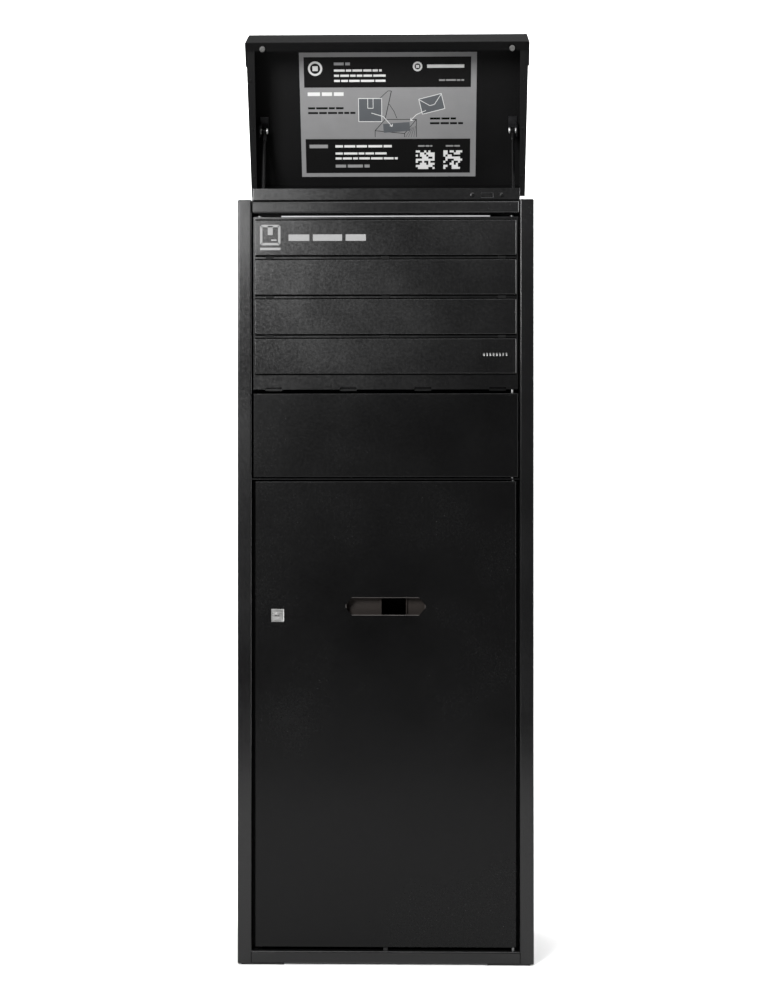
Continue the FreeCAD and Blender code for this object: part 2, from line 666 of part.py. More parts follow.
def lid_front_cap():
    """Cap that wraps the lid's front edge, its sides and the first stretch of the plate."""
    half = HALF + SHEET
    low = LID_LOW - SHEET
    top = LID_TOP + SHEET
    rear = LID_FRONT + CAP_SIDE
    cap = block((-half, half), (LID_FRONT, rear), (low, top))
    cap = cap.makeFillet(SHEET, edges_at_depth(cap, LID_FRONT))
    cap = cap.cut(block((-HALF, HALF), (LID_FRONT + SHEET, rear), (LID_LOW, LID_TOP)))
    cap = cap.cut(block((-HALF, HALF), (LID_FRONT + CAP_TOP, rear), (LID_TOP - 1.0, top + 1.0)))
    cap = cap.cut(block((-HALF, HALF), (LID_FRONT + CAP_LIP, rear), (low - 1.0, LID_LOW + 1.0)))
    return opened(cap)


def lid_label():
    """Instruction label on the inside of the plate."""
    width, length, thick = LABEL
    start = LID_FRONT + LABEL_START
    under = LID_TOP - SHEET
    return opened(block((-width / 2, width / 2), (start, start + length), (under - thick, under)))


def lid_buffers():
    """Two round buffers under the cap's front lip."""
    radius, height, back, inboard = BUFFER
    under = LID_LOW - SHEET
    x = HALF - inboard
    return opened(group(bar_z(place, LID_FRONT + back, (under - height, under), radius)
                        for place in (-x, x)))


def lid_rivets():
    """Rivet heads along the side lips."""
    radius, height = RIVET
    x = HALF - LID_LIP_REAR / 2 - 1.0
    return opened(group(bar_z(place, d, (LID_LOW - height, LID_LOW), radius)
                        for place in (-x, x) for d in RIVET_PLACES))


# ---- lid hinges ------------------------------------------------------------------------------
def knuckle_ranges(centre):
    """The lid's knuckle range and the cabinet's two knuckle ranges at one hinge."""
    middle = KNUCKLE_MIDDLE / 2
    end = HINGE_WIDTH / 2
    return ((centre - middle, centre + middle),
            ((centre - end, centre - middle - KNUCKLE_GAP), (centre + middle + KNUCKLE_GAP, centre + end)))


def cabinet_hinge_leaf(centre):
    """Leaf on the rear wall, cranked back to the hinge axis."""
    height, drop = CABINET_LEAF
    top = PIVOT_Z - drop + SHEET
    outer = BACK_FACE + HINGE_SHEET
    wing = (centre - HINGE_WIDTH / 2, centre + HINGE_WIDTH / 2)
    pieces = [block(wing, (BACK_FACE, outer), (top - height, top))]
    foot = ((BACK_FACE + outer) / 2, top - HINGE_SHEET / 2)
    for x in knuckle_ranges(centre)[1]:
        pieces.append(flat_link(foot, (PIVOT_D, PIVOT_Z), HINGE_SHEET, x))
        pieces.append(bar_x(x, PIVOT_D, PIVOT_Z, KNUCKLE))
    return joined(pieces).cut(bar_x(wing, PIVOT_D, PIVOT_Z, PIN_RADIUS + PIN_PLAY))


def lid_hinge_leaf(centre):
    """Leaf on the lid's rear skirt, cranked down to the hinge axis."""
    wing = (centre - HINGE_WIDTH / 2, centre + HINGE_WIDTH / 2)
    low = LID_TOP - LID_REAR_SKIRT + 1.0
    outer = LID_END + HINGE_SHEET
    middle = knuckle_ranges(centre)[0]
    foot = ((LID_END + outer) / 2, low + HINGE_SHEET)
    leaf = joined([
        block(wing, (LID_END, outer), (low, low + LID_LEAF)),
        flat_link(foot, (PIVOT_D, PIVOT_Z), HINGE_SHEET, middle),
        bar_x(middle, PIVOT_D, PIVOT_Z, KNUCKLE),
    ])
    return leaf.cut(bar_x(wing, PIVOT_D, PIVOT_Z, PIN_RADIUS + PIN_PLAY))


def hinge_pin(centre):
    """Headed pin through one hinge."""
    radius, thick = HINGE_HEAD
    end = HINGE_WIDTH / 2 + FIT
    return joined([
        bar_x((centre - end - thick, centre + end + thick), PIVOT_D, PIVOT_Z, PIN_RADIUS),
        bar_x((centre - end - thick, centre - end), PIVOT_D, PIVOT_Z, radius),
        bar_x((centre + end, centre + end + thick), PIVOT_D, PIVOT_Z, radius),
    ])


# ---- lid stays -------------------------------------------------------------------------------
STUD_CLOSED = (LID_END - STUD[0], LID_TOP - STUD[1])
STUD_OPEN = opened_point(*STUD_CLOSED)
ANCHOR_POINT = (PIVOT_D - ANCHOR[0], PIVOT_Z - ANCHOR[1])


def along_stay(distance):
    """Point on the right-hand stay's line, at a distance up from the anchor, with the lid open."""
    low = V(*ANCHOR_POINT)
    way = (V(*STUD_OPEN) - low).normalize()
    point = low + way * distance
    return at(STAY_X, point.x, point.y)


def stay_bar(start, end, radius):
    """Round bar along the stay between two distances from the anchor."""
    return Part.makeCylinder(radius, end - start, along_stay(start), along_stay(end) - along_stay(start))


def stay_length():
    """Anchor to stud with the lid open."""
    return math.dist(ANCHOR_POINT, STUD_OPEN)


def stay_tube():
    """Pressure tube with its lower eye and a closed bore for the rod."""
    radius, width = TUBE_EYE
    eye_x = (STAY_X - width / 2, STAY_X + width / 2)
    tube = joined([stay_bar(0, TUBE_LENGTH, TUBE_RADIUS), bar_x(eye_x, *ANCHOR_POINT, radius)])
    return tube.cut(stay_bar(TUBE_FLOOR, TUBE_LENGTH + 1.0, ROD_RADIUS + ROD_PLAY))


def stay_rod():
    """Rod with its upper eye."""
    radius, width = STAY_EYE
    eye_x = (STAY_X - width / 2, STAY_X + width / 2)
    shank = stay_bar(TUBE_LENGTH - ROD_IN_TUBE, stay_length() - radius / 2, ROD_RADIUS)
    rod = joined([shank, bar_x(eye_x, *STUD_OPEN, radius)])
    return rod.cut(bar_x((eye_x[0] - 1.0, eye_x[1] + 1.0), *STUD_OPEN, PIN_RADIUS + PIN_PLAY))


def stay_bracket():
    """Angle on the lid's plate that carries a stud."""
    width, length, sheet = STAY_BRACKET
    d, z = STUD_CLOSED
    under = LID_TOP - SHEET
    outer = STAY_X + width / 2 + 1.0
    foot = block((outer - width, outer), (d - length, d), (under - sheet, under))
    ear = block((outer - sheet, outer), (d - length / 2, d + length / 2), (z - 6.0, under))
    return opened(joined([foot, ear]))


def stay_stud():
    """Stud on the bracket's ear."""
    width, _, sheet = STAY_BRACKET
    ear_face = STAY_X + width / 2 + 1.0 - sheet
    inner = STAY_X - STAY_EYE[1] / 2 - 0.5
    return opened(bar_x((inner, ear_face), *STUD_CLOSED, PIN_RADIUS))


def stay_anchor():
    """Anchor plate on the inner wall, beside the tube's lower eye."""
    inner = LINER_X + LINER_SHEET
    outer = STAY_X - TUBE_EYE[1] / 2 - ANCHOR_GAP
    reach = ANCHOR_PLATE / 2
    d, z = ANCHOR_POINT
    return block((inner, outer), (d - reach, d + reach), (z - reach, z + reach))


# ---- doors -----------------------------------------------------------------------------------
def letter_door_panel():
    """Pan of the letter door with its two pin holes."""
    z = (LETTER_LOW, LETTER_TOP)
    door = pan(LETTER_X, (0, DOOR_DEPTH), z, SHEET, DOOR_LIP, DOOR_EDGE)
    x = LETTER_X - LETTER_PIN[0]
    return door.cut(bar_z(x, LETTER_PIN[1], (z[0] - 1.0, z[1] + 1.0), PIN_RADIUS + PIN_PLAY))


def grip_outline():
    """Corners of the grip slot, a rectangle with its corners cut."""
    length, height = GRIP
    cut_x, cut_z = GRIP_CHAMFER
    x = length / 2
    z = height / 2
    quarter = [(x, z - cut_z), (x - cut_x, z)]
    top = quarter + [(-u, v) for u, v in quarter[::-1]]
    return [(u, GRIP_HEIGHT + v, 0) for u, v in top + [(-u, -v) for u, v in top]]


def parcel_door_panel():
    """Pan of the parcel door, pierced for the grip, the lock and its two pins."""
    z = (DOOR_LOW, DOOR_TOP)
    door = pan(DOOR_X, (0, DOOR_DEPTH), z, SHEET, DOOR_LIP, DOOR_EDGE)
    slot = rounded_face(grip_outline(), front(-1.0)).extrude(V(0, SHEET + 2.0, 0))
    lock = bar_d(LOCK_X, (-1.0, SHEET + 1.0), LOCK_HEIGHT, BARREL_RADIUS + FIT)
    x = DOOR_X - DOOR_PIN[0]
    pins = bar_z(x, DOOR_PIN[1], (z[0] - 1.0, z[1] + 1.0), PIN_RADIUS + PIN_PLAY)
    return door.cut(group([slot, lock, pins]))


def door_stiffener(place):
    """Upright hat section on the inside of the parcel door."""
    crown, rise, foot, sheet = STIFFENER
    half = crown / 2
    path = [(place - half - foot, SHEET), (place - half, SHEET), (place - half, SHEET + rise),
            (place + half, SHEET + rise), (place + half, SHEET), (place + half + foot, SHEET)]
    low = DOOR_LOW + STIFFENER_MARGIN
    high = DOOR_TOP - STIFFENER_MARGIN
    return folded(path, sheet, plan(low), V(0, 0, high - low))


def door_gasket():
    """Seal round the parcel door's lips."""
    width, thick = GASKET
    rear = DOOR_DEPTH
    inset = 1.0
    outer = DOOR_X - inset
    inner = outer - width
    ring = block((-outer, outer), (rear, rear + thick), (DOOR_LOW + inset, DOOR_TOP - inset))
    low = DOOR_LOW + inset + width
    high = DOOR_TOP - inset - width
    return ring.cut(block((-inner, inner), (rear, rear + thick), (low, high)))


def grip_cup():
    """Pocket behind the grip slot, with two ribs and an open window between them."""
    length, height, depth, wall = CUP
    x = (-length / 2, length / 2)
    z = (GRIP_HEIGHT - height / 2, GRIP_HEIGHT + height / 2)
    rear = SHEET + depth
    cup = block(x, (SHEET, rear), z)
    cup = cup.cut(block((x[0] + wall, x[1] - wall), (SHEET, rear - wall), (z[0] + wall, z[1] - wall)))
    left, right = CUP_RIBS
    margin = CUP_WINDOW_MARGIN
    window = block((left + wall, right), (rear - wall - 1.0, rear + 1.0), (z[0] + margin, z[1] - margin))
    cup = cup.cut(window)
    rib_d = (rear - CUP_RIB_DEPTH, rear - wall / 2)
    rib_z = (z[0] + wall / 2, z[1] - wall / 2)
    return joined([cup] + [block((place, place + wall), rib_d, rib_z) for place in CUP_RIBS])


# ---- key lock --------------------------------------------------------------------------------
def lock_escutcheon():
    """Square plate round the lock, recessed for the barrel's flange."""
    size, thick = ESCUTCHEON
    half = size / 2
    plate = block((LOCK_X - half, LOCK_X + half), (-thick, 0), (LOCK_HEIGHT - half, LOCK_HEIGHT + half))
    plate = plate.makeChamfer(0.7, edges_at_depth(plate, -thick))
    hole = bar_d(LOCK_X, (-thick, 0), LOCK_HEIGHT, BARREL_RADIUS + FIT)
    flange = BARREL_RADIUS + BARREL_FLANGE[0]
    recess = bar_d(LOCK_X, (-thick, BARREL_RECESS - thick), LOCK_HEIGHT, flange + FIT)
    return plate.cut(hole).cut(recess)


def lock_barrel():
    """Fixed barrel through the door, bored for the plug."""
    beyond, thick = BARREL_FLANGE
    seat = BARREL_RECESS - ESCUTCHEON[1]
    barrel = joined([
        bar_d(LOCK_X, (seat - thick, BARREL_REAR), LOCK_HEIGHT, BARREL_RADIUS),
        bar_d(LOCK_X, (seat - thick, seat), LOCK_HEIGHT, BARREL_RADIUS + beyond),
    ])
    return barrel.cut(bar_d(LOCK_X, (-10.0, BARREL_REAR + 1.0), LOCK_HEIGHT, PLUG_RADIUS + PIN_PLAY))


def lock_nut():
    """Hexagon nut that holds the barrel."""
    beyond, thick = NUT
    corner = BARREL_RADIUS + beyond
    points = [(LOCK_X + corner * math.cos(math.radians(60 * i)),
               LOCK_HEIGHT + corner * math.sin(math.radians(60 * i)), 0) for i in range(6)]
    nut = rounded_face(points, front(SHEET)).extrude(V(0, thick, 0))
    return nut.cut(bar_d(LOCK_X, (0, SHEET + thick + 1.0), LOCK_HEIGHT, BARREL_RADIUS + FIT / 2))


def lock_plug():
    """Turning plug with its keyway."""
    width, height, deep = KEYWAY
    face = BARREL_RECESS - ESCUTCHEON[1] - BARREL_FLANGE[1]
    plug = bar_d(LOCK_X, (face, CAM_START), LOCK_HEIGHT, PLUG_RADIUS)
    slot = block((LOCK_X - width / 2, LOCK_X + width / 2), (face, face + deep),
                 (LOCK_HEIGHT - height / 2, LOCK_HEIGHT + height / 2))
    return plug.cut(slot)


def lock_cam():
    """Cam on the plug's rear end, upright when unlocked."""
    width, reach, thick = CAM
    half = width / 2
    low = LOCK_HEIGHT - half
    high = LOCK_HEIGHT + reach
    corners = [(LOCK_X - half, low, half * 0.9), (LOCK_X + half, low, half * 0.9),
               (LOCK_X + half, high, CAM_TIP), (LOCK_X - half, high, CAM_TIP)]
    cam = rounded_face(corners, front(CAM_START)).extrude(V(0, thick, 0))
    hole = CAM_SCREW[0] + CAM_PLAY
    return cam.cut(bar_d(LOCK_X, (CAM_START - 1.0, CAM_START + thick + 1.0), LOCK_HEIGHT, hole))


def cam_screw():
    """Screw that holds the cam."""
    shank, head, height = CAM_SCREW
    rear = CAM_START + CAM[2]
    return joined([
        bar_d(LOCK_X, (CAM_START, rear + height), LOCK_HEIGHT, shank),
        bar_d(LOCK_X, (rear, rear + height), LOCK_HEIGHT, head),
    ])


# ---- fixings ---------------------------------------------------------------------------------
def rear_screws():
    """Button heads along both rear returns."""
    radius, height = SCREW
    x = HALF - REAR_RETURN / 2
    margin = 60.0
    step = (HEIGHT - 2 * margin) / (REAR_SCREWS - 1)
    return group(bar_d(place, (DEPTH, DEPTH + height), margin + i * step, radius)
                 for place in (-x, x) for i in range(REAR_SCREWS))


def hinge_screws():
    """Button heads on the cabinet's hinge leaves."""
    radius, height = SCREW
    face = BACK_FACE + HINGE_SHEET
    top = PIVOT_Z - CABINET_LEAF[1]
    return group(bar_d(centre + x, (face, face + height), top - drop, radius)
                 for centre in (-HINGE_PLACE, HINGE_PLACE) for x in (-16.0, 16.0) for drop in (16.0, 28.0))


def rim_screws():
    """Two heads beside the lid bolt's window."""
    radius, height = SCREW
    z = HEIGHT + LID_BOLT_RISE + LID_BOLT[2] / 2
    return group(bar_d(LID_LATCH_PLACE + x, (RIM_SETBACK - height, RIM_SETBACK), z, radius)
                 for x in (-RIM_SCREW_SPREAD, RIM_SCREW_SPREAD))


# ---- the whole locker ------------------------------------------------------------------------
def locker():
    """Every node of the locker by name."""
    letter_latch = LETTER_LOW + LETTER_LATCH_RISE
    casing = side_casing()
    wall = liner()
    nodes = {
        "side_casing_right": casing,
        "side_casing_left": mirrored(casing),
        "back_panel": back_panel(),
        "base_tray": base_tray(),
        "foot_pads": foot_pads(),
        "liner_right": wall,
        "liner_left": mirrored(wall),
        "chute_partition": chute_partition(),
        "letter_floor": letter_floor(),
        "header_rail": header_rail(),
        "rim_strip": rim_strip(),
        "fascia_backing": fascia_backing(),
        "slat_clips": slat_clips(),
        "fascia_hooks": fascia_hooks(),
        "edge_strip": edge_strip(),
        "door_pins": door_pins(),
        "door_stop": door_stop(),
        "lid_latch_case": lid_latch_case(),
        "lid_latch_bolt": lid_latch_bolt(),
        "letter_latch_case": side_latch_case(letter_latch),
        "letter_latch_bolt": side_latch_bolt(letter_latch),
        "letter_keeper": keeper(letter_latch),
        "parcel_latch_case": side_latch_case(PARCEL_LATCH_HEIGHT),
        "parcel_latch_bolt": side_latch_bolt(PARCEL_LATCH_HEIGHT),
        "parcel_keeper": keeper(PARCEL_LATCH_HEIGHT),
        "control_unit": cavity_box(CONTROL_BOX, CONTROL_HEIGHT),
        "battery_pack": cavity_box(BATTERY_BOX, BATTERY_HEIGHT),
        "lid_shell": lid_shell(),
        "lid_front_cap": lid_front_cap(),
        "lid_label": lid_label(),
        "lid_buffers": lid_buffers(),
        "lid_rivets": lid_rivets(),
        "cabinet_hinge_leaves": group(cabinet_hinge_leaf(x) for x in (-HINGE_PLACE, HINGE_PLACE)),
        "lid_hinge_leaves": opened(group(lid_hinge_leaf(x) for x in (-HINGE_PLACE, HINGE_PLACE))),
        "lid_hinge_pins": group(hinge_pin(x) for x in (-HINGE_PLACE, HINGE_PLACE)),
        "stay_brackets": group([stay_bracket(), mirrored(stay_bracket())]),
        "stay_studs": group([stay_stud(), mirrored(stay_stud())]),
        "stay_anchors": group([stay_anchor(), mirrored(stay_anchor())]),
        "stay_tube_right": stay_tube(),
        "stay_tube_left": mirrored(stay_tube()),
        "stay_rod_right": stay_rod(),
        "stay_rod_left": mirrored(stay_rod()),
        "letter_door_panel": letter_door_panel(),
        "parcel_door_panel": parcel_door_panel(),
        "door_stiffeners": group(door_stiffener(x) for x in (-STIFFENER_PLACE, STIFFENER_PLACE)),
        "door_gasket": door_gasket(),
        "grip_cup": grip_cup(),
        "lock_escutcheon": lock_escutcheon(),
        "lock_barrel": lock_barrel(),
        "lock_nut": lock_nut(),
        "lock_plug": lock_plug(),
        "lock_cam": lock_cam(),
        "cam_screw": cam_screw(),
        "rear_screws": rear_screws(),
        "hinge_screws": hinge_screws(),
        "rim_screws": rim_screws(),
    }
    for index in range(SLATS):
        nodes["fascia_slat_%d" % (index + 1)] = fascia_slat(index)
    return nodes


def main():
    """Writes one STEP file for each node."""
    os.makedirs("parts", exist_ok=True)
    for name, shape in locker().items():
        shape.exportStep("parts/%s.step" % name)
        print("%-22s solids %2d  valid %s" % (name, len(shape.Solids), shape.isValid()))


main()
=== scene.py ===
"""Looks of a free-standing parcel locker: powder-coated casings, slatted fascia, raised lid, key lock.

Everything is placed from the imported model's own boxes, joints and record. Lengths are in metres.
"""

import json
import logging
import math
import random
from dataclasses import dataclass
from enum import Enum
from typing import Callable, Iterable, Optional, Sequence

import bpy
from mathutils import Matrix, Vector


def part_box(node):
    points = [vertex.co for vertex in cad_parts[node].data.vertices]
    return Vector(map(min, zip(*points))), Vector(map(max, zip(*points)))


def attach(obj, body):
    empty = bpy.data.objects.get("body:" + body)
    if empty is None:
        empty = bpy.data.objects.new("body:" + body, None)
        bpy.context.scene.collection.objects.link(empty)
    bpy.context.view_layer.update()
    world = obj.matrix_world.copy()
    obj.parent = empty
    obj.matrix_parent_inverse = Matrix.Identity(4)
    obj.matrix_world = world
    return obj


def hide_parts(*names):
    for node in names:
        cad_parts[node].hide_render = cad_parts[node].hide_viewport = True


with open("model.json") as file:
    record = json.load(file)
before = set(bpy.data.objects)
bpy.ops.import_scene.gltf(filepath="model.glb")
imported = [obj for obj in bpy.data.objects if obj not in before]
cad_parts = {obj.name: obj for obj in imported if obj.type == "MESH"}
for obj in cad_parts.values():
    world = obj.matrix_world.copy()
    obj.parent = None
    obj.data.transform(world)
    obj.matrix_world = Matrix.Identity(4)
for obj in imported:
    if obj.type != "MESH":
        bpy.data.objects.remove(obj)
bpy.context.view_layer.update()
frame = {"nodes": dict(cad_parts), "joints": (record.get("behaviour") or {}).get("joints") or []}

LOG = logging.getLogger("locker")
MM = 0.001
Colour = tuple[float, float, float]
Box = tuple[Vector, Vector]
Socket = bpy.types.NodeSocket


# ---- material graphs ---------------------------------------------------------------------------
class Graph:
    """Short-hand for building one procedural material on the Principled shader."""

    def __init__(self, name: str) -> None:
        """Starts a material.

        Args:
            name: name of the material.
        """
        self.material = bpy.data.materials.new(name)
        self.material.use_nodes = True
        self.tree = self.material.node_tree
        self.shader = self.tree.nodes["Principled BSDF"]
        self.coords: Socket = self.tree.nodes.new("ShaderNodeTexCoord").outputs["Object"]

    def wire(self, target: Socket, value: object) -> None:
        """Links a socket, or sets a plain value, on a node's input.

        Args:
            target: input to feed.
            value: socket to link, or value to set.
        """
        if isinstance(value, bpy.types.NodeSocket):
            self.tree.links.new(value, target)
        else:
            target.default_value = value

    def stretched(self, scale: Sequence[float]) -> Socket:
        """Object coordinates scaled differently along each axis.

        Args:
            scale: factor along X, Y and Z.

        Returns:
            The scaled coordinates.
        """
        node = self.tree.nodes.new("ShaderNodeMapping")
        self.wire(node.inputs["Vector"], self.coords)
        node.inputs["Scale"].default_value = tuple(scale)
        return node.outputs["Vector"]

    def noise(self, scale: float, detail: float = 3.0, vector: Optional[Socket] = None) -> Socket:
        """Noise over the surface.

        Args:
            scale: cycles per metre.
            detail: octaves.
            vector: coordinates, or None for plain object coordinates.

        Returns:
            The noise value, about 0.3 to 0.7.
        """
        node = self.tree.nodes.new("ShaderNodeTexNoise")
        self.wire(node.inputs["Vector"], vector or self.coords)
        node.inputs["Scale"].default_value = scale
        node.inputs["Detail"].default_value = detail
        return node.outputs["Fac"]

    def math(self, operation: str, first: object, second: object = 0.0) -> Socket:
        """Result of a math node.

        Args:
            operation: what the node does.
            first: first socket or number.
            second: second socket or number.

        Returns:
            The result.
        """
        node = self.tree.nodes.new("ShaderNodeMath")
        node.operation = operation
        self.wire(node.inputs[0], first)
        self.wire(node.inputs[1], second)
        return node.outputs[0]

    def remap(self, value: Socket, source: Sequence[float], target: Sequence[float]) -> Socket:
        """Value moved from one range to another, and held inside it.

        Args:
            value: what is moved.
            source: range that it comes from.
            target: range that it goes to.

        Returns:
            The moved value.
        """
        node = self.tree.nodes.new("ShaderNodeMapRange")
        self.wire(node.inputs["Value"], value)
        for name, number in zip(("From Min", "From Max", "To Min", "To Max"), (*source, *target)):
            node.inputs[name].default_value = number
        return node.outputs["Result"]

    def blend(self, factor: Socket, low: object, high: object) -> Socket:
        """Colour between two colours.

        Args:
            factor: 0 for the low colour, 1 for the high one.
            low: colour or socket.
            high: colour or socket.

        Returns:
            The mixed colour.
        """
        node = self.tree.nodes.new("ShaderNodeMix")
        node.data_type = "RGBA"
        self.wire(node.inputs["Factor"], factor)
        for socket, colour in ((node.inputs[6], low), (node.inputs[7], high)):
            self.wire(socket, colour if isinstance(colour, bpy.types.NodeSocket) else (*colour, 1.0))
        return node.outputs[2]

    def bump(self, height: Socket, depth: float, below: Optional[Socket] = None) -> Socket:
        """Normal raised by a height.

        Args:
            height: value from 0 to 1.
            depth: metres that a height of 1 stands up.
            below: normal of a bump that this one lies on.

        Returns:
            The new normal.
        """
        node = self.tree.nodes.new("ShaderNodeBump")
        node.inputs["Strength"].default_value = 1.0
        node.inputs["Distance"].default_value = depth
        self.wire(node.inputs["Height"], height)
        if below is not None:
            self.wire(node.inputs["Normal"], below)
        return node.outputs["Normal"]

    def near_edges(self, box: Box, reach: float) -> Socket:
        """Mask of a strip just inside the front outline of a box.

        Args:
            box: lowest and highest corners.
            reach: width of the strip.

        Returns:
            1 on the outline, falling to 0 at reach.
        """
        node = self.tree.nodes.new("ShaderNodeSeparateXYZ")
        self.wire(node.inputs[0], self.coords)
        gaps = []
        for axis in (0, 2):
            gaps.append(self.math("SUBTRACT", node.outputs[axis], box[0][axis]))
            gaps.append(self.math("SUBTRACT", box[1][axis], node.outputs[axis]))
        nearest = gaps[0]
        for gap in gaps[1:]:
            nearest = self.math("MINIMUM", nearest, gap)
        return self.remap(nearest, (0.0, reach), (1.0, 0.0))

    def surface(self, colour: object, roughness: object, normal: Optional[Socket] = None,
                metallic: float = 0.0, specular: float = 0.5) -> bpy.types.Material:
        """Wires the shader and returns the finished material.

        Args:
            colour: colour socket.
            roughness: socket or number.
            normal: normal, or None for the mesh's own.
            metallic: 1 for bare metal.
            specular: strength of the sheen on what is not metal.

        Returns:
            The finished material.
        """
        inputs = self.shader.inputs
        self.wire(inputs["Base Color"], colour)
        self.wire(inputs["Roughness"], roughness)
        inputs["Metallic"].default_value = metallic
        inputs["Specular IOR Level"].default_value = specular
        if normal is not None:
            self.wire(inputs["Normal"], normal)
        return self.material


@dataclass(frozen=True)
class PowderCoat:
    """Fine-textured powder coat, with a painted highlight along a panel's outline for light on its rounded
    bends.
    """

    name: str
    shade: float = 0.0045
    roughness: float = 0.20
    specular: float = 0.32
    spread: float = 0.22
    grain: float = 1500.0
    grain_depth: float = 0.000018
    waviness: float = 0.0
    # gain and reach of the painted edge highlight
    edge_highlight_gain: float = 1.5
    edge_highlight_reach: float = 0.0016

    def material(self, box: Optional[Box] = None) -> bpy.types.Material:
        """Builds the finish.

        Args:
            box: panel whose outline gets the painted highlight, or None for a piece without it.

        Returns:
            The material.
        """
        graph = Graph(self.name)
        broad = graph.noise(5.0, 4.0)
        fine = graph.noise(self.grain, 2.0)
        mottle_noise = graph.noise(260.0, 5.0)
        dark = tuple(self.shade * (1 - self.spread) * k for k in (1.0, 1.0, 1.03))
        light = tuple(self.shade * (1 + self.spread) * k for k in (1.0, 1.0, 1.03))
        colour = graph.blend(graph.remap(broad, (0.3, 0.7), (0.0, 1.0)), dark, light)
        speck = graph.remap(fine, (0.62, 0.75), (0.0, 0.3))
        colour = graph.blend(speck, colour, tuple(2.0 * c for c in light))
        # painted highlight: colour lifted along the panel's outline, broken up by noise, for light on the
        # rounded bends
        if box is not None:
            painted_edge_highlight = graph.math("MULTIPLY", graph.near_edges(box, self.edge_highlight_reach),
                                graph.remap(mottle_noise, (0.35, 0.6), (0.25, 0.8)))
            colour = graph.blend(painted_edge_highlight, colour, tuple(self.edge_highlight_gain * c for c in light))
        uneven = graph.math("ADD", graph.remap(broad, (0.3, 0.7), (-0.05, 0.05)),
                            graph.remap(mottle_noise, (0.3, 0.7), (-0.03, 0.03)))
        rough = graph.math("ADD", uneven, self.roughness)
        normal = graph.bump(fine, self.grain_depth)
        if self.waviness > 0:
            normal = graph.bump(graph.noise(7.0, 1.0), self.waviness, normal)
        return graph.surface(colour, rough, normal, specular=self.specular)


@dataclass(frozen=True)
class Metal:
    """Bare or plated metal with fine drawn lines along one axis."""

    name: str
    shade: Colour
    roughness: float
    along: int = 0
    line_depth: float = 0.00002
    tarnish: float = 0.25

    def material(self) -> bpy.types.Material:
        """Builds the finish.

        Returns:
            The material.
        """
        graph = Graph(self.name)
        scale = [1600.0] * 3
        scale[self.along] = 40.0
        lines = graph.noise(1.0, 3.0, graph.stretched(scale))
        cloud = graph.noise(90.0, 4.0)
        dull = tuple(c * (1 - self.tarnish) for c in self.shade)
        colour = graph.blend(graph.remap(cloud, (0.35, 0.65), (0.0, 1.0)), dull, self.shade)
        rough = graph.remap(lines, (0.3, 0.7), (self.roughness * 0.75, self.roughness * 1.3))
        return graph.surface(colour, rough, graph.bump(lines, self.line_depth), metallic=1.0)


@dataclass(frozen=True)
class Moulded:
    """Moulded plastic, rubber or vinyl with a grained skin."""

    name: str
    shade: Colour
    roughness: float
    grain: float = 1200.0
    grain_depth: float = 0.00004
    spread: float = 0.12
    specular: float = 0.5

    def material(self) -> bpy.types.Material:
        """Builds the finish.

        Returns:
            The material.
        """
        graph = Graph(self.name)
        cloud = graph.noise(40.0, 4.0)
        grain = graph.noise(self.grain, 2.0)
        dark = tuple(c * (1 - self.spread) for c in self.shade)
        light = tuple(c * (1 + self.spread) for c in self.shade)
        colour = graph.blend(graph.remap(cloud, (0.3, 0.7), (0.0, 1.0)), dark, light)
        rough = graph.remap(grain, (0.3, 0.7), (self.roughness * 0.9, self.roughness * 1.1))
        return graph.surface(colour, rough, graph.bump(grain, self.grain_depth), specular=self.specular)


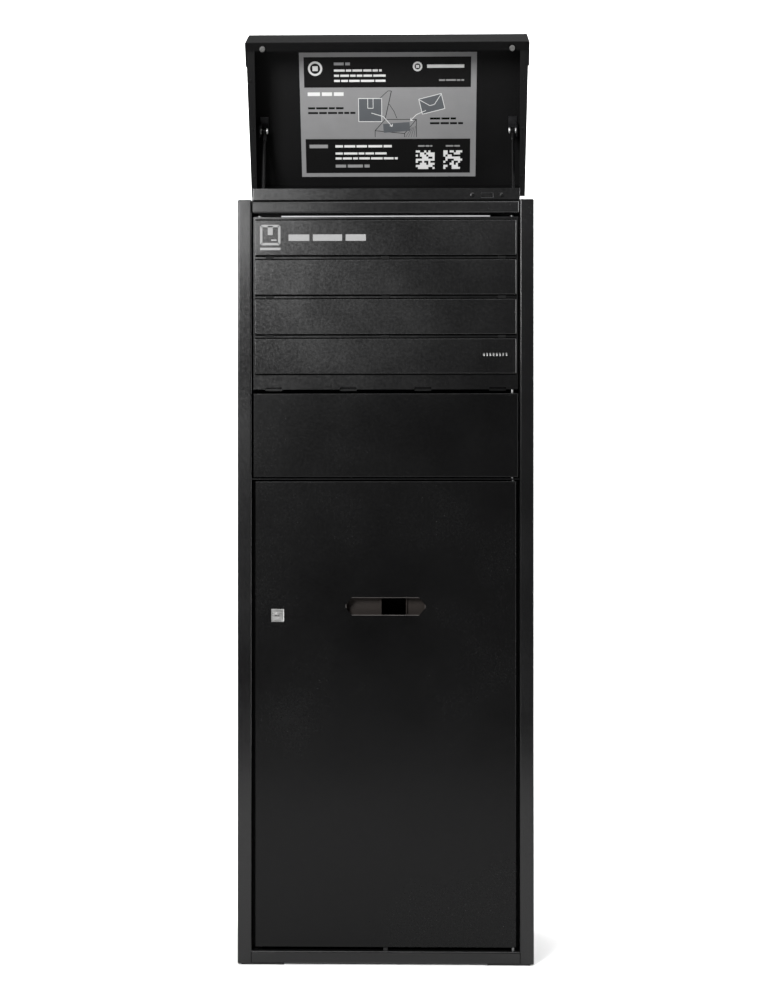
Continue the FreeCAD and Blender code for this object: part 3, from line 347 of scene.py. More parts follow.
class Finish(Enum):
    """Finishes shared by several pieces."""

    CASING = PowderCoat("casing_coat")
    INNER = PowderCoat("inner_coat", shade=0.005, roughness=0.6, edge_highlight_gain=1.2, specular=0.15)
    LID = PowderCoat("lid_coat", shade=0.004, roughness=0.52, specular=0.08)
    # painted shade: a darker, duller copy of the lid coat for the front cap, whose top faces the overhead
    # lights
    LID_COAT_SHADED = PowderCoat("lid_coat_painted_shade", shade=0.0025, roughness=0.6, specular=0.035)
    FASCIA = PowderCoat("fascia_coat", shade=0.0035, roughness=0.185, specular=0.46, waviness=0.0003)
    DOOR = PowderCoat("door_coat", shade=0.0025, roughness=0.24, specular=0.13, waviness=0.0004)
    ZINC = Metal("zinc_plate", (0.62, 0.63, 0.64), 0.28)
    BRIGHT_ZINC = Metal("bright_zinc", (0.88, 0.88, 0.88), 0.50)
    DULL_STEEL = Metal("dull_steel", (0.20, 0.20, 0.20), 0.38)
    CHROME = Metal("satin_chrome", (0.34, 0.34, 0.335), 0.33, line_depth=0.00001)
    DARK_STEEL = Metal("black_oxide", (0.055, 0.055, 0.058), 0.42)
    LACQUER = PowderCoat("stay_lacquer", shade=0.004, roughness=0.35, specular=0.10, grain_depth=0.00001)
    BLACK_PLASTIC = Moulded("clip_moulding", (0.004, 0.004, 0.004), 0.55, specular=0.1)
    # painted shade: near-black, almost without sheen, for the shadow lines in the gaps round the slats and
    # along the rim
    PAINTED_SHADE_STRIP = Moulded("painted_shade_strip", (0.0015, 0.0015, 0.0015), 0.9, spread=0.3, specular=0.02)
    CASE_PLASTIC = Moulded("case_moulding", (0.030, 0.030, 0.033), 0.50)
    BROWN_PLASTIC = Moulded("brown_plastic", (0.011, 0.008, 0.0065), 0.50, specular=0.15)
    # partly painted highlight: paler than the pocket so that the lip shows as the light line round the slot
    LIP_PLASTIC = Moulded("lip_plastic", (0.045, 0.040, 0.038), 0.35)
    TRIM = Moulded("pale_trim", (0.27, 0.27, 0.28), 0.40)
    # painted highlight: pale colour of the strips at the slats' and the header rail's right ends
    PAINTED_HIGHLIGHT_STRIP = Moulded("painted_highlight_strip", (0.11, 0.11, 0.11), 0.40)
    BLACK_RUBBER = Moulded("seal_rubber", (0.010, 0.010, 0.010), 0.80, specular=0.3)
    GREY_RUBBER = Moulded("buffer_rubber", (0.072, 0.072, 0.070), 0.65, specular=0.3)
    VINYL = Moulded("label_film", (0.190, 0.190, 0.192), 0.38, grain=700.0, spread=0.03)
    INK_BLACK = Moulded("black_ink", (0.005, 0.005, 0.005), 0.40, spread=0.05, specular=0.08)
    INK_WHITE = Moulded("white_ink", (0.60, 0.60, 0.595), 0.45, spread=0.03)
    INK_GREY = Moulded("grey_ink", (0.070, 0.076, 0.083), 0.42, spread=0.04)
    INK_PALE = Moulded("pale_ink", (0.22, 0.22, 0.22), 0.42, spread=0.04)
    SIGN_WHITE = Moulded("sign_paint", (0.21, 0.21, 0.21), 0.45, spread=0.03, specular=0.1)

    def material(self) -> bpy.types.Material:
        """The finish's material, made once.

        Returns:
            The material.
        """
        if self not in MADE:
            MADE[self] = self.value.material()
        return MADE[self]

    def on_panel(self, node: str) -> bpy.types.Material:
        """The finish with its painted edge highlight along one CAD node's outline.

        Args:
            node: CAD node whose box gives the outline.

        Returns:
            A material of that node's own.
        """
        material = self.value.material(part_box(node))
        material.name = f"{self.value.name}_{node}"
        return material


MADE: dict[Finish, bpy.types.Material] = {}


# ---- modelling by operators ----------------------------------------------------------------------
def deselect() -> None:
    """Leaves nothing selected in object mode."""
    if bpy.context.object is not None and bpy.context.object.mode != "OBJECT":
        bpy.ops.object.mode_set(mode="OBJECT")
    bpy.ops.object.select_all(action="DESELECT")


def activate(piece: bpy.types.Object) -> None:
    """Selects one piece alone and makes it active.

    Args:
        piece: object to select.
    """
    deselect()
    piece.select_set(True)
    bpy.context.view_layer.objects.active = piece


def box_piece(low: Sequence[float], high: Sequence[float]) -> bpy.types.Object:
    """Box primitive between two corners, with its place in its mesh.

    Args:
        low: lowest corner.
        high: highest corner.

    Returns:
        The box.
    """
    deselect()
    bpy.ops.mesh.primitive_cube_add(size=1.0)
    piece = bpy.context.object
    size = [h - l for l, h in zip(low, high)]
    middle = [(h + l) / 2 for l, h in zip(low, high)]
    piece.data.transform(Matrix.Translation(middle) @ Matrix.Diagonal((*size, 1.0)))
    return piece


def disc_piece(radius: float, depth: float, matrix: Matrix, sides: int = 32) -> bpy.types.Object:
    """Round bar along a frame's Z axis from its origin.

    Args:
        radius: of the bar.
        depth: length along the frame's Z axis.
        matrix: frame that the bar stands in.
        sides: facets round it.

    Returns:
        The piece, with its place in its mesh.
    """
    deselect()
    bpy.ops.mesh.primitive_cylinder_add(radius=radius, depth=depth, vertices=sides, location=(0, 0, 0))
    piece = bpy.context.object
    piece.data.transform(matrix @ Matrix.Translation((0, 0, depth / 2)))
    return piece


def shape_faces(piece: bpy.types.Object, chosen: Callable[[bpy.types.MeshPolygon], bool],
                *steps: Callable[[], object]) -> None:
    """Runs edit-mode operators on some faces of a piece.

    Args:
        piece: mesh object to shape.
        chosen: test that a face must pass.
        steps: operators to run in order, on the faces that they leave selected.
    """
    activate(piece)
    mesh = piece.data
    for part in (*mesh.vertices, *mesh.edges):
        part.select = False
    for face in mesh.polygons:
        face.select = chosen(face)
    bpy.context.tool_settings.mesh_select_mode = (False, False, True)
    bpy.ops.object.mode_set(mode="EDIT")
    for step in steps:
        step()
    bpy.ops.object.mode_set(mode="OBJECT")


def facing(direction: Sequence[float], limit: float = 0.9) -> Callable[[bpy.types.MeshPolygon], bool]:
    """Test for faces that look along a direction."""
    way = Vector(direction).normalized()
    return lambda face: face.normal.dot(way) > limit


def inset(thickness: float, depth: float) -> Callable[[], object]:
    """Step that insets the selected faces and moves them in or out."""
    return lambda: bpy.ops.mesh.inset(thickness=thickness, depth=depth, use_even_offset=True)


def applied(piece: bpy.types.Object, kind: str, **settings: object) -> None:
    """Adds a modifier to a piece and applies it.

    Args:
        piece: object to change.
        kind: the modifier's type.
        settings: the modifier's values by name.
    """
    activate(piece)
    modifier = piece.modifiers.new(kind.lower(), kind)
    for name, value in settings.items():
        setattr(modifier, name, value)
    bpy.ops.object.modifier_apply(modifier=modifier.name)


def rounded(piece: bpy.types.Object, width: float, segments: int = 2) -> bpy.types.Object:
    """Bevels a piece's sharp edges and smooths what is left.

    Args:
        piece: object to change.
        width: of the bevel.
        segments: faces across it.

    Returns:
        The same piece.
    """
    applied(piece, "BEVEL", width=width, segments=segments, limit_method="ANGLE",
            angle_limit=math.radians(35))
    smooth(piece)
    return piece


def smooth(piece: bpy.types.Object) -> None:
    """Smooth shading with the sharp edges kept."""
    activate(piece)
    bpy.ops.object.shade_smooth_by_angle(angle=math.radians(35))


def together(pieces: Iterable[bpy.types.Object]) -> bpy.types.Object:
    """Joins pieces into one object and returns it.

    Args:
        pieces: objects to join.

    Returns:
        The first of them, which holds all the meshes.
    """
    pieces = list(pieces)
    activate(pieces[0])
    for piece in pieces[1:]:
        piece.select_set(True)
    if len(pieces) > 1:
        bpy.ops.object.join()
    return pieces[0]


def placed(piece: bpy.types.Object, name: str, body: str, finish: Finish,
           stands_for: Sequence[str] = ()) -> bpy.types.Object:
    """Names, dresses and mounts a finished piece.

    Args:
        piece: the mesh object, with its place in its mesh.
        name: piece name.
        body: CAD body that it rides on.
        finish: finish to wear.
        stands_for: CAD nodes that it replaces.

    Returns:
        The piece.
    """
    piece.name = name
    piece.data.name = name
    piece.data.materials.clear()
    piece.data.materials.append(finish.material())
    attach(piece, body)
    if stands_for:
        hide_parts(*stands_for)
    LOG.info("%s rides on %s, %d faces", name, body, len(piece.data.polygons))
    return piece


def joint_named(name: str) -> dict:
    """The record's entry for one joint."""
    return next(joint for joint in frame["joints"] if joint["name"] == name)


def middle_of(box: Box) -> Vector:
    """Centre of a box."""
    return (box[0] + box[1]) / 2


def frame_facing(origin: Sequence[float], out: Sequence[float], up: Sequence[float]) -> Matrix:
    """Frame whose Z axis is out and whose Y axis is up.

    Args:
        origin: where the frame stands.
        out: direction of its Z axis.
        up: direction of its Y axis.

    Returns:
        The frame as a matrix.
    """
    z = Vector(out).normalized()
    y = Vector(up).normalized()
    x = y.cross(z)
    matrix = Matrix((x, y, z)).transposed().to_4x4()
    matrix.translation = Vector(origin)
    return matrix


# ---- CAD nodes' finishes --------------------------------------------------------------------------
@dataclass(frozen=True)
class CadDress:
    """Which finish each CAD node wears."""

    # panels: finishes with the painted edge highlight along the node's outline
    panels: tuple[tuple[Finish, tuple[str, ...]], ...] = (
        (Finish.CASING, ("side_casing_left", "side_casing_right", "header_rail", "rim_strip", "base_tray")),
        (Finish.FASCIA, ("fascia_slat_1", "fascia_slat_2", "fascia_slat_3", "fascia_slat_4")),
        (Finish.DOOR, ("letter_door_panel", "parcel_door_panel")),
    )
    plain: tuple[tuple[Finish, tuple[str, ...]], ...] = (
        (Finish.CASING, ("back_panel", "letter_floor", "cabinet_hinge_leaves", "lid_hinge_leaves")),
        (Finish.INNER, ("liner_left", "liner_right", "chute_partition", "door_stiffeners")),
        (Finish.FASCIA, ("fascia_backing", "fascia_hooks")),
        (Finish.LID, ("lid_shell",)),
        (Finish.LID_COAT_SHADED, ("lid_front_cap",)),
        (Finish.ZINC, ("lid_hinge_pins", "letter_keeper", "parcel_keeper", "lock_nut",
                       "lock_cam", "cam_screw", "letter_latch_bolt", "parcel_latch_bolt",
                       "stay_studs")),
        (Finish.DULL_STEEL, ("door_pins",)),
        (Finish.CHROME, ("lock_escutcheon", "lock_barrel", "lock_plug")),
        (Finish.CASING, ("lid_latch_bolt",)),
        (Finish.DARK_STEEL, ("rear_screws", "hinge_screws", "rim_screws", "lid_rivets",
                             "stay_brackets", "stay_anchors")),
        (Finish.LACQUER, ("stay_tube_left", "stay_tube_right", "stay_rod_left", "stay_rod_right")),
        (Finish.CASE_PLASTIC, ("lid_latch_case", "letter_latch_case", "parcel_latch_case",
                               "control_unit", "battery_pack")),
        (Finish.BLACK_PLASTIC, ("slat_clips",)),
        (Finish.BROWN_PLASTIC, ("grip_cup",)),
        (Finish.TRIM, ("edge_strip",)),
        (Finish.BLACK_RUBBER, ("door_gasket", "door_stop", "foot_pads")),
        (Finish.GREY_RUBBER, ("lid_buffers",)),
        (Finish.VINYL, ("lid_label",)),
    )

    def dress(self) -> None:
        """Gives every CAD node its material."""
        for finish, nodes in self.panels:
            for node in nodes:
                self.wear(node, finish.on_panel(node))
        for finish, nodes in self.plain:
            for node in nodes:
                self.wear(node, finish.material())

    def wear(self, node: str, material: bpy.types.Material) -> None:
        """Puts one material in every slot of a CAD node.

        Args:
            node: CAD node.
            material: what it wears.
        """
        slots = frame["nodes"][node].material_slots
        for slot in slots:
            slot.material = material
        LOG.info("%s wears %s", node, material.name)


# ---- printed sheets ---------------------------------------------------------------------------------
class PrintedSheet:
    """Flat marks on a plane, drawn in millimetres from its top left corner, to the right and down."""

    thickness: float = 0.00006
    layers = (Finish.INK_BLACK, Finish.INK_GREY, Finish.INK_PALE, Finish.INK_WHITE, Finish.SIGN_WHITE)

    def __init__(self, plane: Matrix, width: float, height: float) -> None:
        """Sets the plane.

        Args:
            plane: frame at the sheet's centre, its Y axis up the sheet and its Z axis out of it.
            width: of the sheet in metres.
            height: of the sheet in metres.
        """
        self.plane = plane
        self.width = width
        self.height = height
        self.marks: dict[Finish, list[bpy.types.Object]] = {}

    def spot(self, x: float, y: float) -> Vector:
        """Place of a point on the sheet, in the sheet's own frame."""
        return Vector((x * MM - self.width / 2, self.height / 2 - y * MM, 0.0))

    def add(self, ink: Finish, piece: bpy.types.Object) -> None:
        """Keeps one mark for its ink."""
        self.marks.setdefault(ink, []).append(piece)

    def bar(self, ink: Finish, x: float, y: float, width: float, height: float,
            turn: float = 0.0) -> None:
        """Rectangle.

        Args:
            ink: colour.
            x: left edge.
            y: top edge.
            width: to the right.
            height: down.
            turn: degrees anticlockwise about its centre.
        """
        deselect()
        bpy.ops.mesh.primitive_plane_add(size=1.0)
        piece = bpy.context.object
        place = Matrix.Translation(self.spot(x + width / 2, y + height / 2))
        size = Matrix.Diagonal((width * MM, height * MM, 1.0, 1.0))
        piece.data.transform(place @ Matrix.Rotation(math.radians(turn), 4, "Z") @ size)
        self.add(ink, piece)

    def line(self, ink: Finish, start: Sequence[float], end: Sequence[float], width: float) -> None:
        """Straight stroke between two points.

        Args:
            ink: colour.
            start: first point.
            end: last point.
            width: of the stroke.
        """
        run = math.dist(start, end)
        middle = ((start[0] + end[0]) / 2, (start[1] + end[1]) / 2)
        turn = -math.degrees(math.atan2(end[1] - start[1], end[0] - start[0]))
        self.bar(ink, middle[0] - run / 2, middle[1] - width / 2, run, width, turn)

    def strokes(self, ink: Finish, points: Sequence[Sequence[float]], width: float,
                closed: bool = False) -> None:
        """Straight strokes through points.

        Args:
            ink: colour.
            points: ends of the strokes, in order.
            width: of the strokes.
            closed: whether a stroke joins the last point to the first.
        """
        ends = list(points[1:]) + ([points[0]] if closed else [])
        for start, end in zip(points, ends):
            self.line(ink, start, end, width)

    def disc(self, ink: Finish, x: float, y: float, radius: float, hole: float = 0.0) -> None:
        """Disc, or a ring where it has a hole.

        Args:
            ink: colour.
            x: centre, from the sheet's left.
            y: centre, from the sheet's top.
            radius: of the disc.
            hole: radius of the hole, or 0.
        """
        deselect()
        bpy.ops.mesh.primitive_circle_add(radius=radius * MM, vertices=32, fill_type="NGON")
        piece = bpy.context.object
        piece.data.transform(Matrix.Translation(self.spot(x, y)))
        if hole > 0:
            shape_faces(piece, lambda face: True, inset((radius - hole) * MM, 0.0),
                        lambda: bpy.ops.mesh.delete(type="FACE"))
        self.add(ink, piece)

    def words(self, ink: Finish, x: float, y: float, width: float, height: float,
              draw: random.Random) -> None:
        """Row of short bars that stands for a line of writing.

        Args:
            ink: colour.
            x: left edge.
            y: top edge.
            width: of the whole row.
            height: of the bars.
            draw: source of the bars' lengths.
        """
        place = x
        while place < x + width - height:
            length = min(draw.uniform(2.2, 6.5) * height, x + width - place)
            self.bar(ink, place, y, length, height)
            place += length + 0.55 * height

    def finish(self, name: str, body: str, slot: str) -> None:
        """Joins each ink's marks, gives them thickness and puts them on the plane.

        Args:
            name: start of the pieces' names.
            body: CAD body that they ride on.
            slot: the record's material slot; not used.
        """
        for level, ink in enumerate(self.layers, start=1):
            if ink not in self.marks:
                continue
            piece = together(self.marks[ink])
            applied(piece, "SOLIDIFY", thickness=self.thickness * level, offset=1.0)
            piece.data.transform(self.plane)
            placed(piece, f"{name}_{ink.value.name}", body, ink)


@dataclass
class LidLabel:
    """Instruction label inside the lid, with plain pictograms and bars for its writing."""

    width: float = 0.297
    height: float = 0.210
    thickness: float = 0.00025
    lift: float = 0.00005
    seed: int = 7

    def plane(self) -> Matrix:
        """Frame on the label's visible face.

        Returns:
            The frame.
        """
        angle = math.radians(joint_named("lid_hinge")["range_deg"][1])
        out = Vector((0.0, -math.sin(angle), -math.cos(angle)))
        up = Vector((0.0, -math.cos(angle), math.sin(angle)))
        centre = middle_of(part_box("lid_label")) + out * (self.thickness / 2 + self.lift)
        return frame_facing(centre, out, up)

    def build(self) -> None:
        """Draws the label."""
        sheet = PrintedSheet(self.plane(), self.width, self.height)
        draw = random.Random(self.seed)
        self.bands(sheet)
        self.header(sheet, draw)
        self.middle(sheet, draw)
        self.footer(sheet, draw)
        sheet.finish("label", "lid", "label_vinyl")

    def bands(self, sheet: PrintedSheet) -> None:
        """Dark bands at the top and the bottom."""
        sheet.bar(Finish.INK_BLACK, 7.5, 7.5, 280.0, 50.5)
        sheet.bar(Finish.INK_BLACK, 7.5, 145.0, 280.0, 58.5)

    def header(self, sheet: PrintedSheet, draw: random.Random) -> None:
        """Greeting, a parcel roundel and a plain plate.

        Args:
            sheet: sheet to draw on.
            draw: source of the bars' lengths.
        """
        sheet.disc(Finish.INK_WHITE, 26.5, 26.5, 12.0, 8.6)
        sheet.bar(Finish.INK_WHITE, 22.0, 22.5, 9.0, 8.0)
        sheet.words(Finish.INK_PALE, 58.0, 16.5, 27.0, 4.6, draw)
        for row in range(3):
            sheet.words(Finish.INK_WHITE, 58.0, 28.0 + 8.6 * row, 88.0 - 8.0 * (row == 0), 3.6, draw)
        sheet.disc(Finish.INK_WHITE, 198.0, 23.5, 8.0, 5.0)
        sheet.bar(Finish.INK_WHITE, 195.3, 21.0, 5.4, 5.0)
        sheet.bar(Finish.INK_WHITE, 214.0, 20.5, 62.0, 5.4)
        sheet.words(Finish.INK_PALE, 234.0, 45.0, 42.0, 2.6, draw)

    def middle(self, sheet: PrintedSheet, draw: random.Random) -> None:
        """Parcel, envelope and open locker, with their arrows and captions.

        Args:
            sheet: sheet to draw on.
            draw: source of the bars' lengths.
        """
        sheet.words(Finish.INK_WHITE, 13.0, 66.0, 62.0, 6.0, draw)
        sheet.words(Finish.INK_BLACK, 13.0, 91.0, 60.0, 3.4, draw)
        sheet.words(Finish.INK_BLACK, 13.0, 99.0, 80.0, 3.4, draw)
        sheet.words(Finish.INK_BLACK, 219.0, 109.0, 44.0, 3.4, draw)
        sheet.words(Finish.INK_BLACK, 219.0, 117.0, 56.0, 3.4, draw)
        self.locker(sheet)
        self.parcel(sheet)
        self.envelope(sheet)

    def parcel(self, sheet: PrintedSheet) -> None:
        """Square parcel with a strip of tape.

        Args:
            sheet: sheet to draw on.
        """
        sheet.bar(Finish.INK_GREY, 99.0, 77.0, 38.0, 38.0)
        corners = ((98.5, 76.5), (137.5, 76.5), (137.5, 115.5), (98.5, 115.5))
        sheet.strokes(Finish.INK_WHITE, corners, 1.0, closed=True)
        sheet.strokes(Finish.INK_WHITE, ((114.0, 77.0), (114.0, 93.0), (123.0, 93.0), (123.0, 77.0)), 0.9)
        sheet.strokes(Finish.INK_WHITE, ((120.0, 101.0), (140.0, 107.0), (155.0, 124.0)), 1.0)
        sheet.strokes(Finish.INK_WHITE, ((151.0, 122.5), (155.0, 124.0), (155.5, 119.5)), 1.0)

    def envelope(self, sheet: PrintedSheet) -> None:
        """Tilted envelope with its flap.

        Args:
            sheet: sheet to draw on.
        """
        turn = math.radians(14.0)
        centre = (222.0, 86.0)

        def corner(x: float, y: float) -> tuple[float, float]:
            """Point of the envelope before its tilt, tilted."""
            return (centre[0] + x * math.cos(turn) + y * math.sin(turn),
                    centre[1] - x * math.sin(turn) + y * math.cos(turn))

        sheet.bar(Finish.INK_GREY, centre[0] - 19.0, centre[1] - 12.5, 38.0, 25.0, math.degrees(turn))
        outline = [corner(*p) for p in ((-19.5, -13), (19.5, -13), (19.5, 13), (-19.5, 13))]
        sheet.strokes(Finish.INK_WHITE, outline, 1.0, closed=True)
        sheet.strokes(Finish.INK_WHITE, [corner(*p) for p in ((-19, -12), (-4, 2), (4, 2), (19, -12))], 0.9)
        sheet.strokes(Finish.INK_WHITE, ((212.0, 97.0), (196.0, 104.0), (186.0, 114.0)), 1.0)
        sheet.strokes(Finish.INK_WHITE, ((187.0, 109.5), (186.0, 114.0), (190.5, 113.5)), 1.0)

    def locker(self, sheet: PrintedSheet) -> None:
        """Line drawing of the locker's top with its lid up.

        Args:
            sheet: sheet to draw on.
        """
        sheet.bar(Finish.INK_GREY, 140.0, 118.0, 45.0, 15.0, 4.0)
        rim = ((126.0, 131.0), (143.0, 112.0), (196.0, 112.0), (176.0, 136.0))
        sheet.strokes(Finish.INK_BLACK, rim, 0.9, closed=True)
        sheet.strokes(Finish.INK_BLACK, ((143.0, 112.0), (154.0, 64.0)), 1.1)
        sheet.strokes(Finish.INK_BLACK, ((124.0, 86.0), (148.0, 64.0), (154.0, 64.0)), 0.8)
        sheet.strokes(Finish.INK_BLACK, ((150.0, 86.0), (158.0, 98.0), (163.0, 110.0)), 0.8)
        sheet.strokes(Finish.INK_BLACK, ((126.0, 131.0), (126.0, 142.0)), 0.9)
        sheet.strokes(Finish.INK_BLACK, ((196.0, 112.0), (196.0, 142.0)), 0.9)
        sheet.strokes(Finish.INK_BLACK, ((176.0, 136.0), (176.0, 142.0)), 0.9)
        for step in range(4):
            foot = (178.0 + step * 4.5, 142.0)
            sheet.line(Finish.INK_BLACK, foot, (188.0 + step * 2.2, 126.0 - step), 0.5)

    def footer(self, sheet: PrintedSheet, draw: random.Random) -> None:
        """Heading, three rows and two plain chequered squares.

        Args:
            sheet: sheet to draw on.
            draw: source of the bars' lengths.
        """
        sheet.words(Finish.INK_PALE, 14.0, 154.5, 38.0, 6.0, draw)
        sheet.words(Finish.INK_WHITE, 58.0, 155.5, 96.0, 4.0, draw)
        sheet.words(Finish.INK_WHITE, 58.0, 168.0, 92.0, 3.6, draw)
        sheet.words(Finish.INK_WHITE, 58.0, 176.5, 106.0, 3.6, draw)
        sheet.words(Finish.INK_PALE, 58.0, 189.0, 58.0, 5.0, draw)
        for left in (195.0, 242.0):
            self.chequer(sheet, left, 165.0, draw)
            sheet.words(Finish.INK_PALE, left + 4.0, 156.0, 24.0, 2.6, draw)

    def chequer(self, sheet: PrintedSheet, left: float, top: float, draw: random.Random) -> None:
        """Pale square of small cells that carries no code.

        Args:
            sheet: sheet to draw on.
            left: left edge.
            top: top edge.
            draw: source of the choice of cells.
        """
        cells = 9
        size = 32.0 / cells
        for row in range(cells):
            for column in range(cells):
                if draw.random() < 0.6:
                    sheet.bar(Finish.INK_WHITE, left + column * size, top + row * size, size, size)


# ---- fascia marks ----------------------------------------------------------------------------------
@dataclass
class FasciaMarks:
    """Plain parcel sign and bar on the top slat, and a row of small bright bars on the lowest."""

    sign_left: float = 0.0095
    sign_size: float = 0.028
    sign_stroke: float = 0.0038
    bar_start: float = 0.052
    bar_length: float = 0.120
    bar_height: float = 0.010
    plate_right: float = 0.0115
    plate_length: float = 0.040
    plate_height: float = 0.0050
    plate_rise: float = 0.0010
    plate_bars: int = 8
    plate_fill: float = 0.5
    plate_level: float = 0.54

    def build(self) -> None:
        """Makes the sign and the row of bars."""
        self.sign()
        self.plate()

    def sign(self) -> None:
        """Parcel sign: a square outline with tape, and a bar of short strokes."""
        low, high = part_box("fascia_slat_1")
        width = high.x - low.x
        height = high.z - low.z
        centre = Vector(((low.x + high.x) / 2, low.y - 0.00004, (low.z + high.z) / 2))
        sheet = PrintedSheet(frame_facing(centre, (0, -1, 0), (0, 0, 1)), width, height)
        left = self.sign_left / MM
        size = self.sign_size / MM
        stroke = self.sign_stroke / MM
        top = (height / MM - size * 1.3) / 2
        right = left + size
        outline = ((left, top), (right, top), (right, top + size), (left, top + size))
        sheet.strokes(Finish.SIGN_WHITE, outline, stroke, closed=True)
        sheet.bar(Finish.SIGN_WHITE, left + size * 0.36, top, size * 0.28, size * 0.5)
        sheet.bar(Finish.SIGN_WHITE, left + size * 0.55, top + size * 0.74, size * 0.3, size * 0.09)
        sheet.bar(Finish.SIGN_WHITE, left - stroke / 2, top + size * 1.2, size + stroke, stroke)
        middle = height / MM / 2
        bar = self.bar_height / MM
        sheet.words(Finish.SIGN_WHITE, self.bar_start / MM, middle - bar / 2, self.bar_length / MM,
                    bar, random.Random(3))
        sheet.finish("fascia_sign", "cabinet", "fascia_paint")

    def plate(self) -> None:
        """Row of small raised bars near the lowest slat's right end."""
        low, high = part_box("fascia_slat_4")
        face = low.y
        middle = low.z + (high.z - low.z) * self.plate_level
        start = high.x - self.plate_right - self.plate_length
        pitch = self.plate_length / self.plate_bars
        bars = []
        for index in range(self.plate_bars):
            left = start + index * pitch
            bar = box_piece((left, face - self.plate_rise, middle - self.plate_height / 2),
                            (left + pitch * self.plate_fill, face, middle + self.plate_height / 2))
            shape_faces(bar, facing((0, -1, 0)), inset(0.0005, -0.0002))
            bars.append(rounded(bar, 0.0002))
        placed(together(bars), "fascia_plate", "cabinet", Finish.CHROME)


# ---- turned and pressed small pieces ------------------------------------------------------------------
@dataclass
class SocketHeads:
    """Button heads with a round socket, in place of the plain CAD heads."""

    socket_depth: float = 0.0009
    dome: float = 0.00055

    def build(self) -> None:
        """Makes the heads of every group."""
        for node, finish, out in (("rear_screws", Finish.DARK_STEEL, (0, 1, 0)),
                                  ("hinge_screws", Finish.DARK_STEEL, (0, 1, 0)),
                                  ("rim_screws", Finish.CASING, (0, -1, 0))):
            heads = [self.head(box, out) for box in loose_boxes(node)]
            piece = together(heads)
            smooth(piece)
            placed(piece, f"{node}_heads", "cabinet", finish, (node,))

    def head(self, box: Box, out: Sequence[float]) -> bpy.types.Object:
        """One head in the space of a CAD head.

        Args:
            box: the CAD head's box.
            out: direction that it faces.

        Returns:
            The head.
        """
        radius = (box[1].x - box[0].x) / 2
        height = box[1].y - box[0].y
        way = Vector(out)
        seat = middle_of(box) - way * (height / 2)
        matrix = frame_facing(seat, way, (0, 0, 1))
        head = disc_piece(radius, height - self.dome, matrix, 24)
        shape_faces(head, facing(way), inset(radius * 0.22, self.dome * 0.7),
                    inset(radius * 0.22, self.dome * 0.3),
                    inset(radius * 0.10, 0.0), inset(0.00003, -self.socket_depth))
        return head


@dataclass
class BlindRivets:
    """Domed rivet heads with the hole left by the drawn mandrel."""

    height: float = 0.0009
    depth: float = 0.0005

    def build(self) -> None:
        """Makes the rivets on the lid's side lips."""
        angle = math.radians(joint_named("lid_hinge")["range_deg"][1])
        out = Vector((0.0, -math.sin(angle), -math.cos(angle)))
        up = Vector((0.0, -math.cos(angle), math.sin(angle)))
        rivets = []
        for box in loose_boxes("lid_rivets"):
            radius = (box[1].x - box[0].x) / 2
            matrix = frame_facing(middle_of(box) - out * (self.height / 2), out, up)
            rivet = disc_piece(radius, self.height * 0.4, matrix, 24)
            shape_faces(rivet, facing(out), inset(radius * 0.25, self.height * 0.4),
                        inset(radius * 0.35, self.height * 0.2), inset(radius * 0.06, -self.depth))
            rivets.append(rivet)
        piece = together(rivets)
        smooth(piece)
        placed(piece, "lid_rivet_heads", "lid", Finish.LID, ("lid_rivets",))


@dataclass
class Buffers:
    """Rubber buffers with a rounded nose and a moulded ring."""

    nose: float = 0.0012

    def build(self) -> None:
        """Makes both buffers under the lid's front lip."""
        angle = math.radians(joint_named("lid_hinge")["range_deg"][1])
        out = Vector((0.0, -math.sin(angle), -math.cos(angle)))
        up = Vector((0.0, -math.cos(angle), math.sin(angle)))
        buffers = []
        for box in loose_boxes("lid_buffers"):
            radius = (box[1].x - box[0].x) / 2
            extent = box[1].z - box[0].z
            height = (extent - 2 * radius * abs(out.y)) / abs(out.z)
            matrix = frame_facing(middle_of(box) - out * (height / 2), out, up)
            buffer = disc_piece(radius, height - self.nose, matrix, 32)
            shape_faces(buffer, facing(out), inset(radius * 0.12, self.nose * 0.6),
                        inset(radius * 0.20, self.nose * 0.4), inset(radius * 0.22, 0.0),
                        inset(radius * 0.05, -0.0004))
            buffers.append(buffer)
        piece = together(buffers)
        smooth(piece)
        placed(piece, "lid_buffer_caps", "lid", Finish.GREY_RUBBER, ("lid_buffers",))


def loose_boxes(node: str) -> list[Box]:
    """Boxes of a CAD node's separate solids, left to right.

    Args:
        node: CAD node.

    Returns:
        Lowest and highest corners of each solid.
    """
    deselect()
    source = frame["nodes"][node]
    copy = source.copy()
    copy.data = source.data.copy()
    bpy.context.collection.objects.link(copy)
    activate(copy)
    bpy.ops.object.mode_set(mode="EDIT")
    bpy.ops.mesh.select_all(action="SELECT")
    bpy.ops.mesh.remove_doubles(threshold=0.000001)
    bpy.ops.mesh.separate(type="LOOSE")
    bpy.ops.object.mode_set(mode="OBJECT")
    parts = list(bpy.context.selected_objects)
    boxes = []
    for part in parts:
        points = [v.co for v in part.data.vertices]
        boxes.append((Vector(min(p[i] for p in points) for i in range(3)),
                      Vector(max(p[i] for p in points) for i in range(3))))
        bpy.data.objects.remove(part)
    return sorted(boxes, key=lambda box: (round(box[0].x, 4), round(box[0].z, 4), round(box[0].y, 4)))


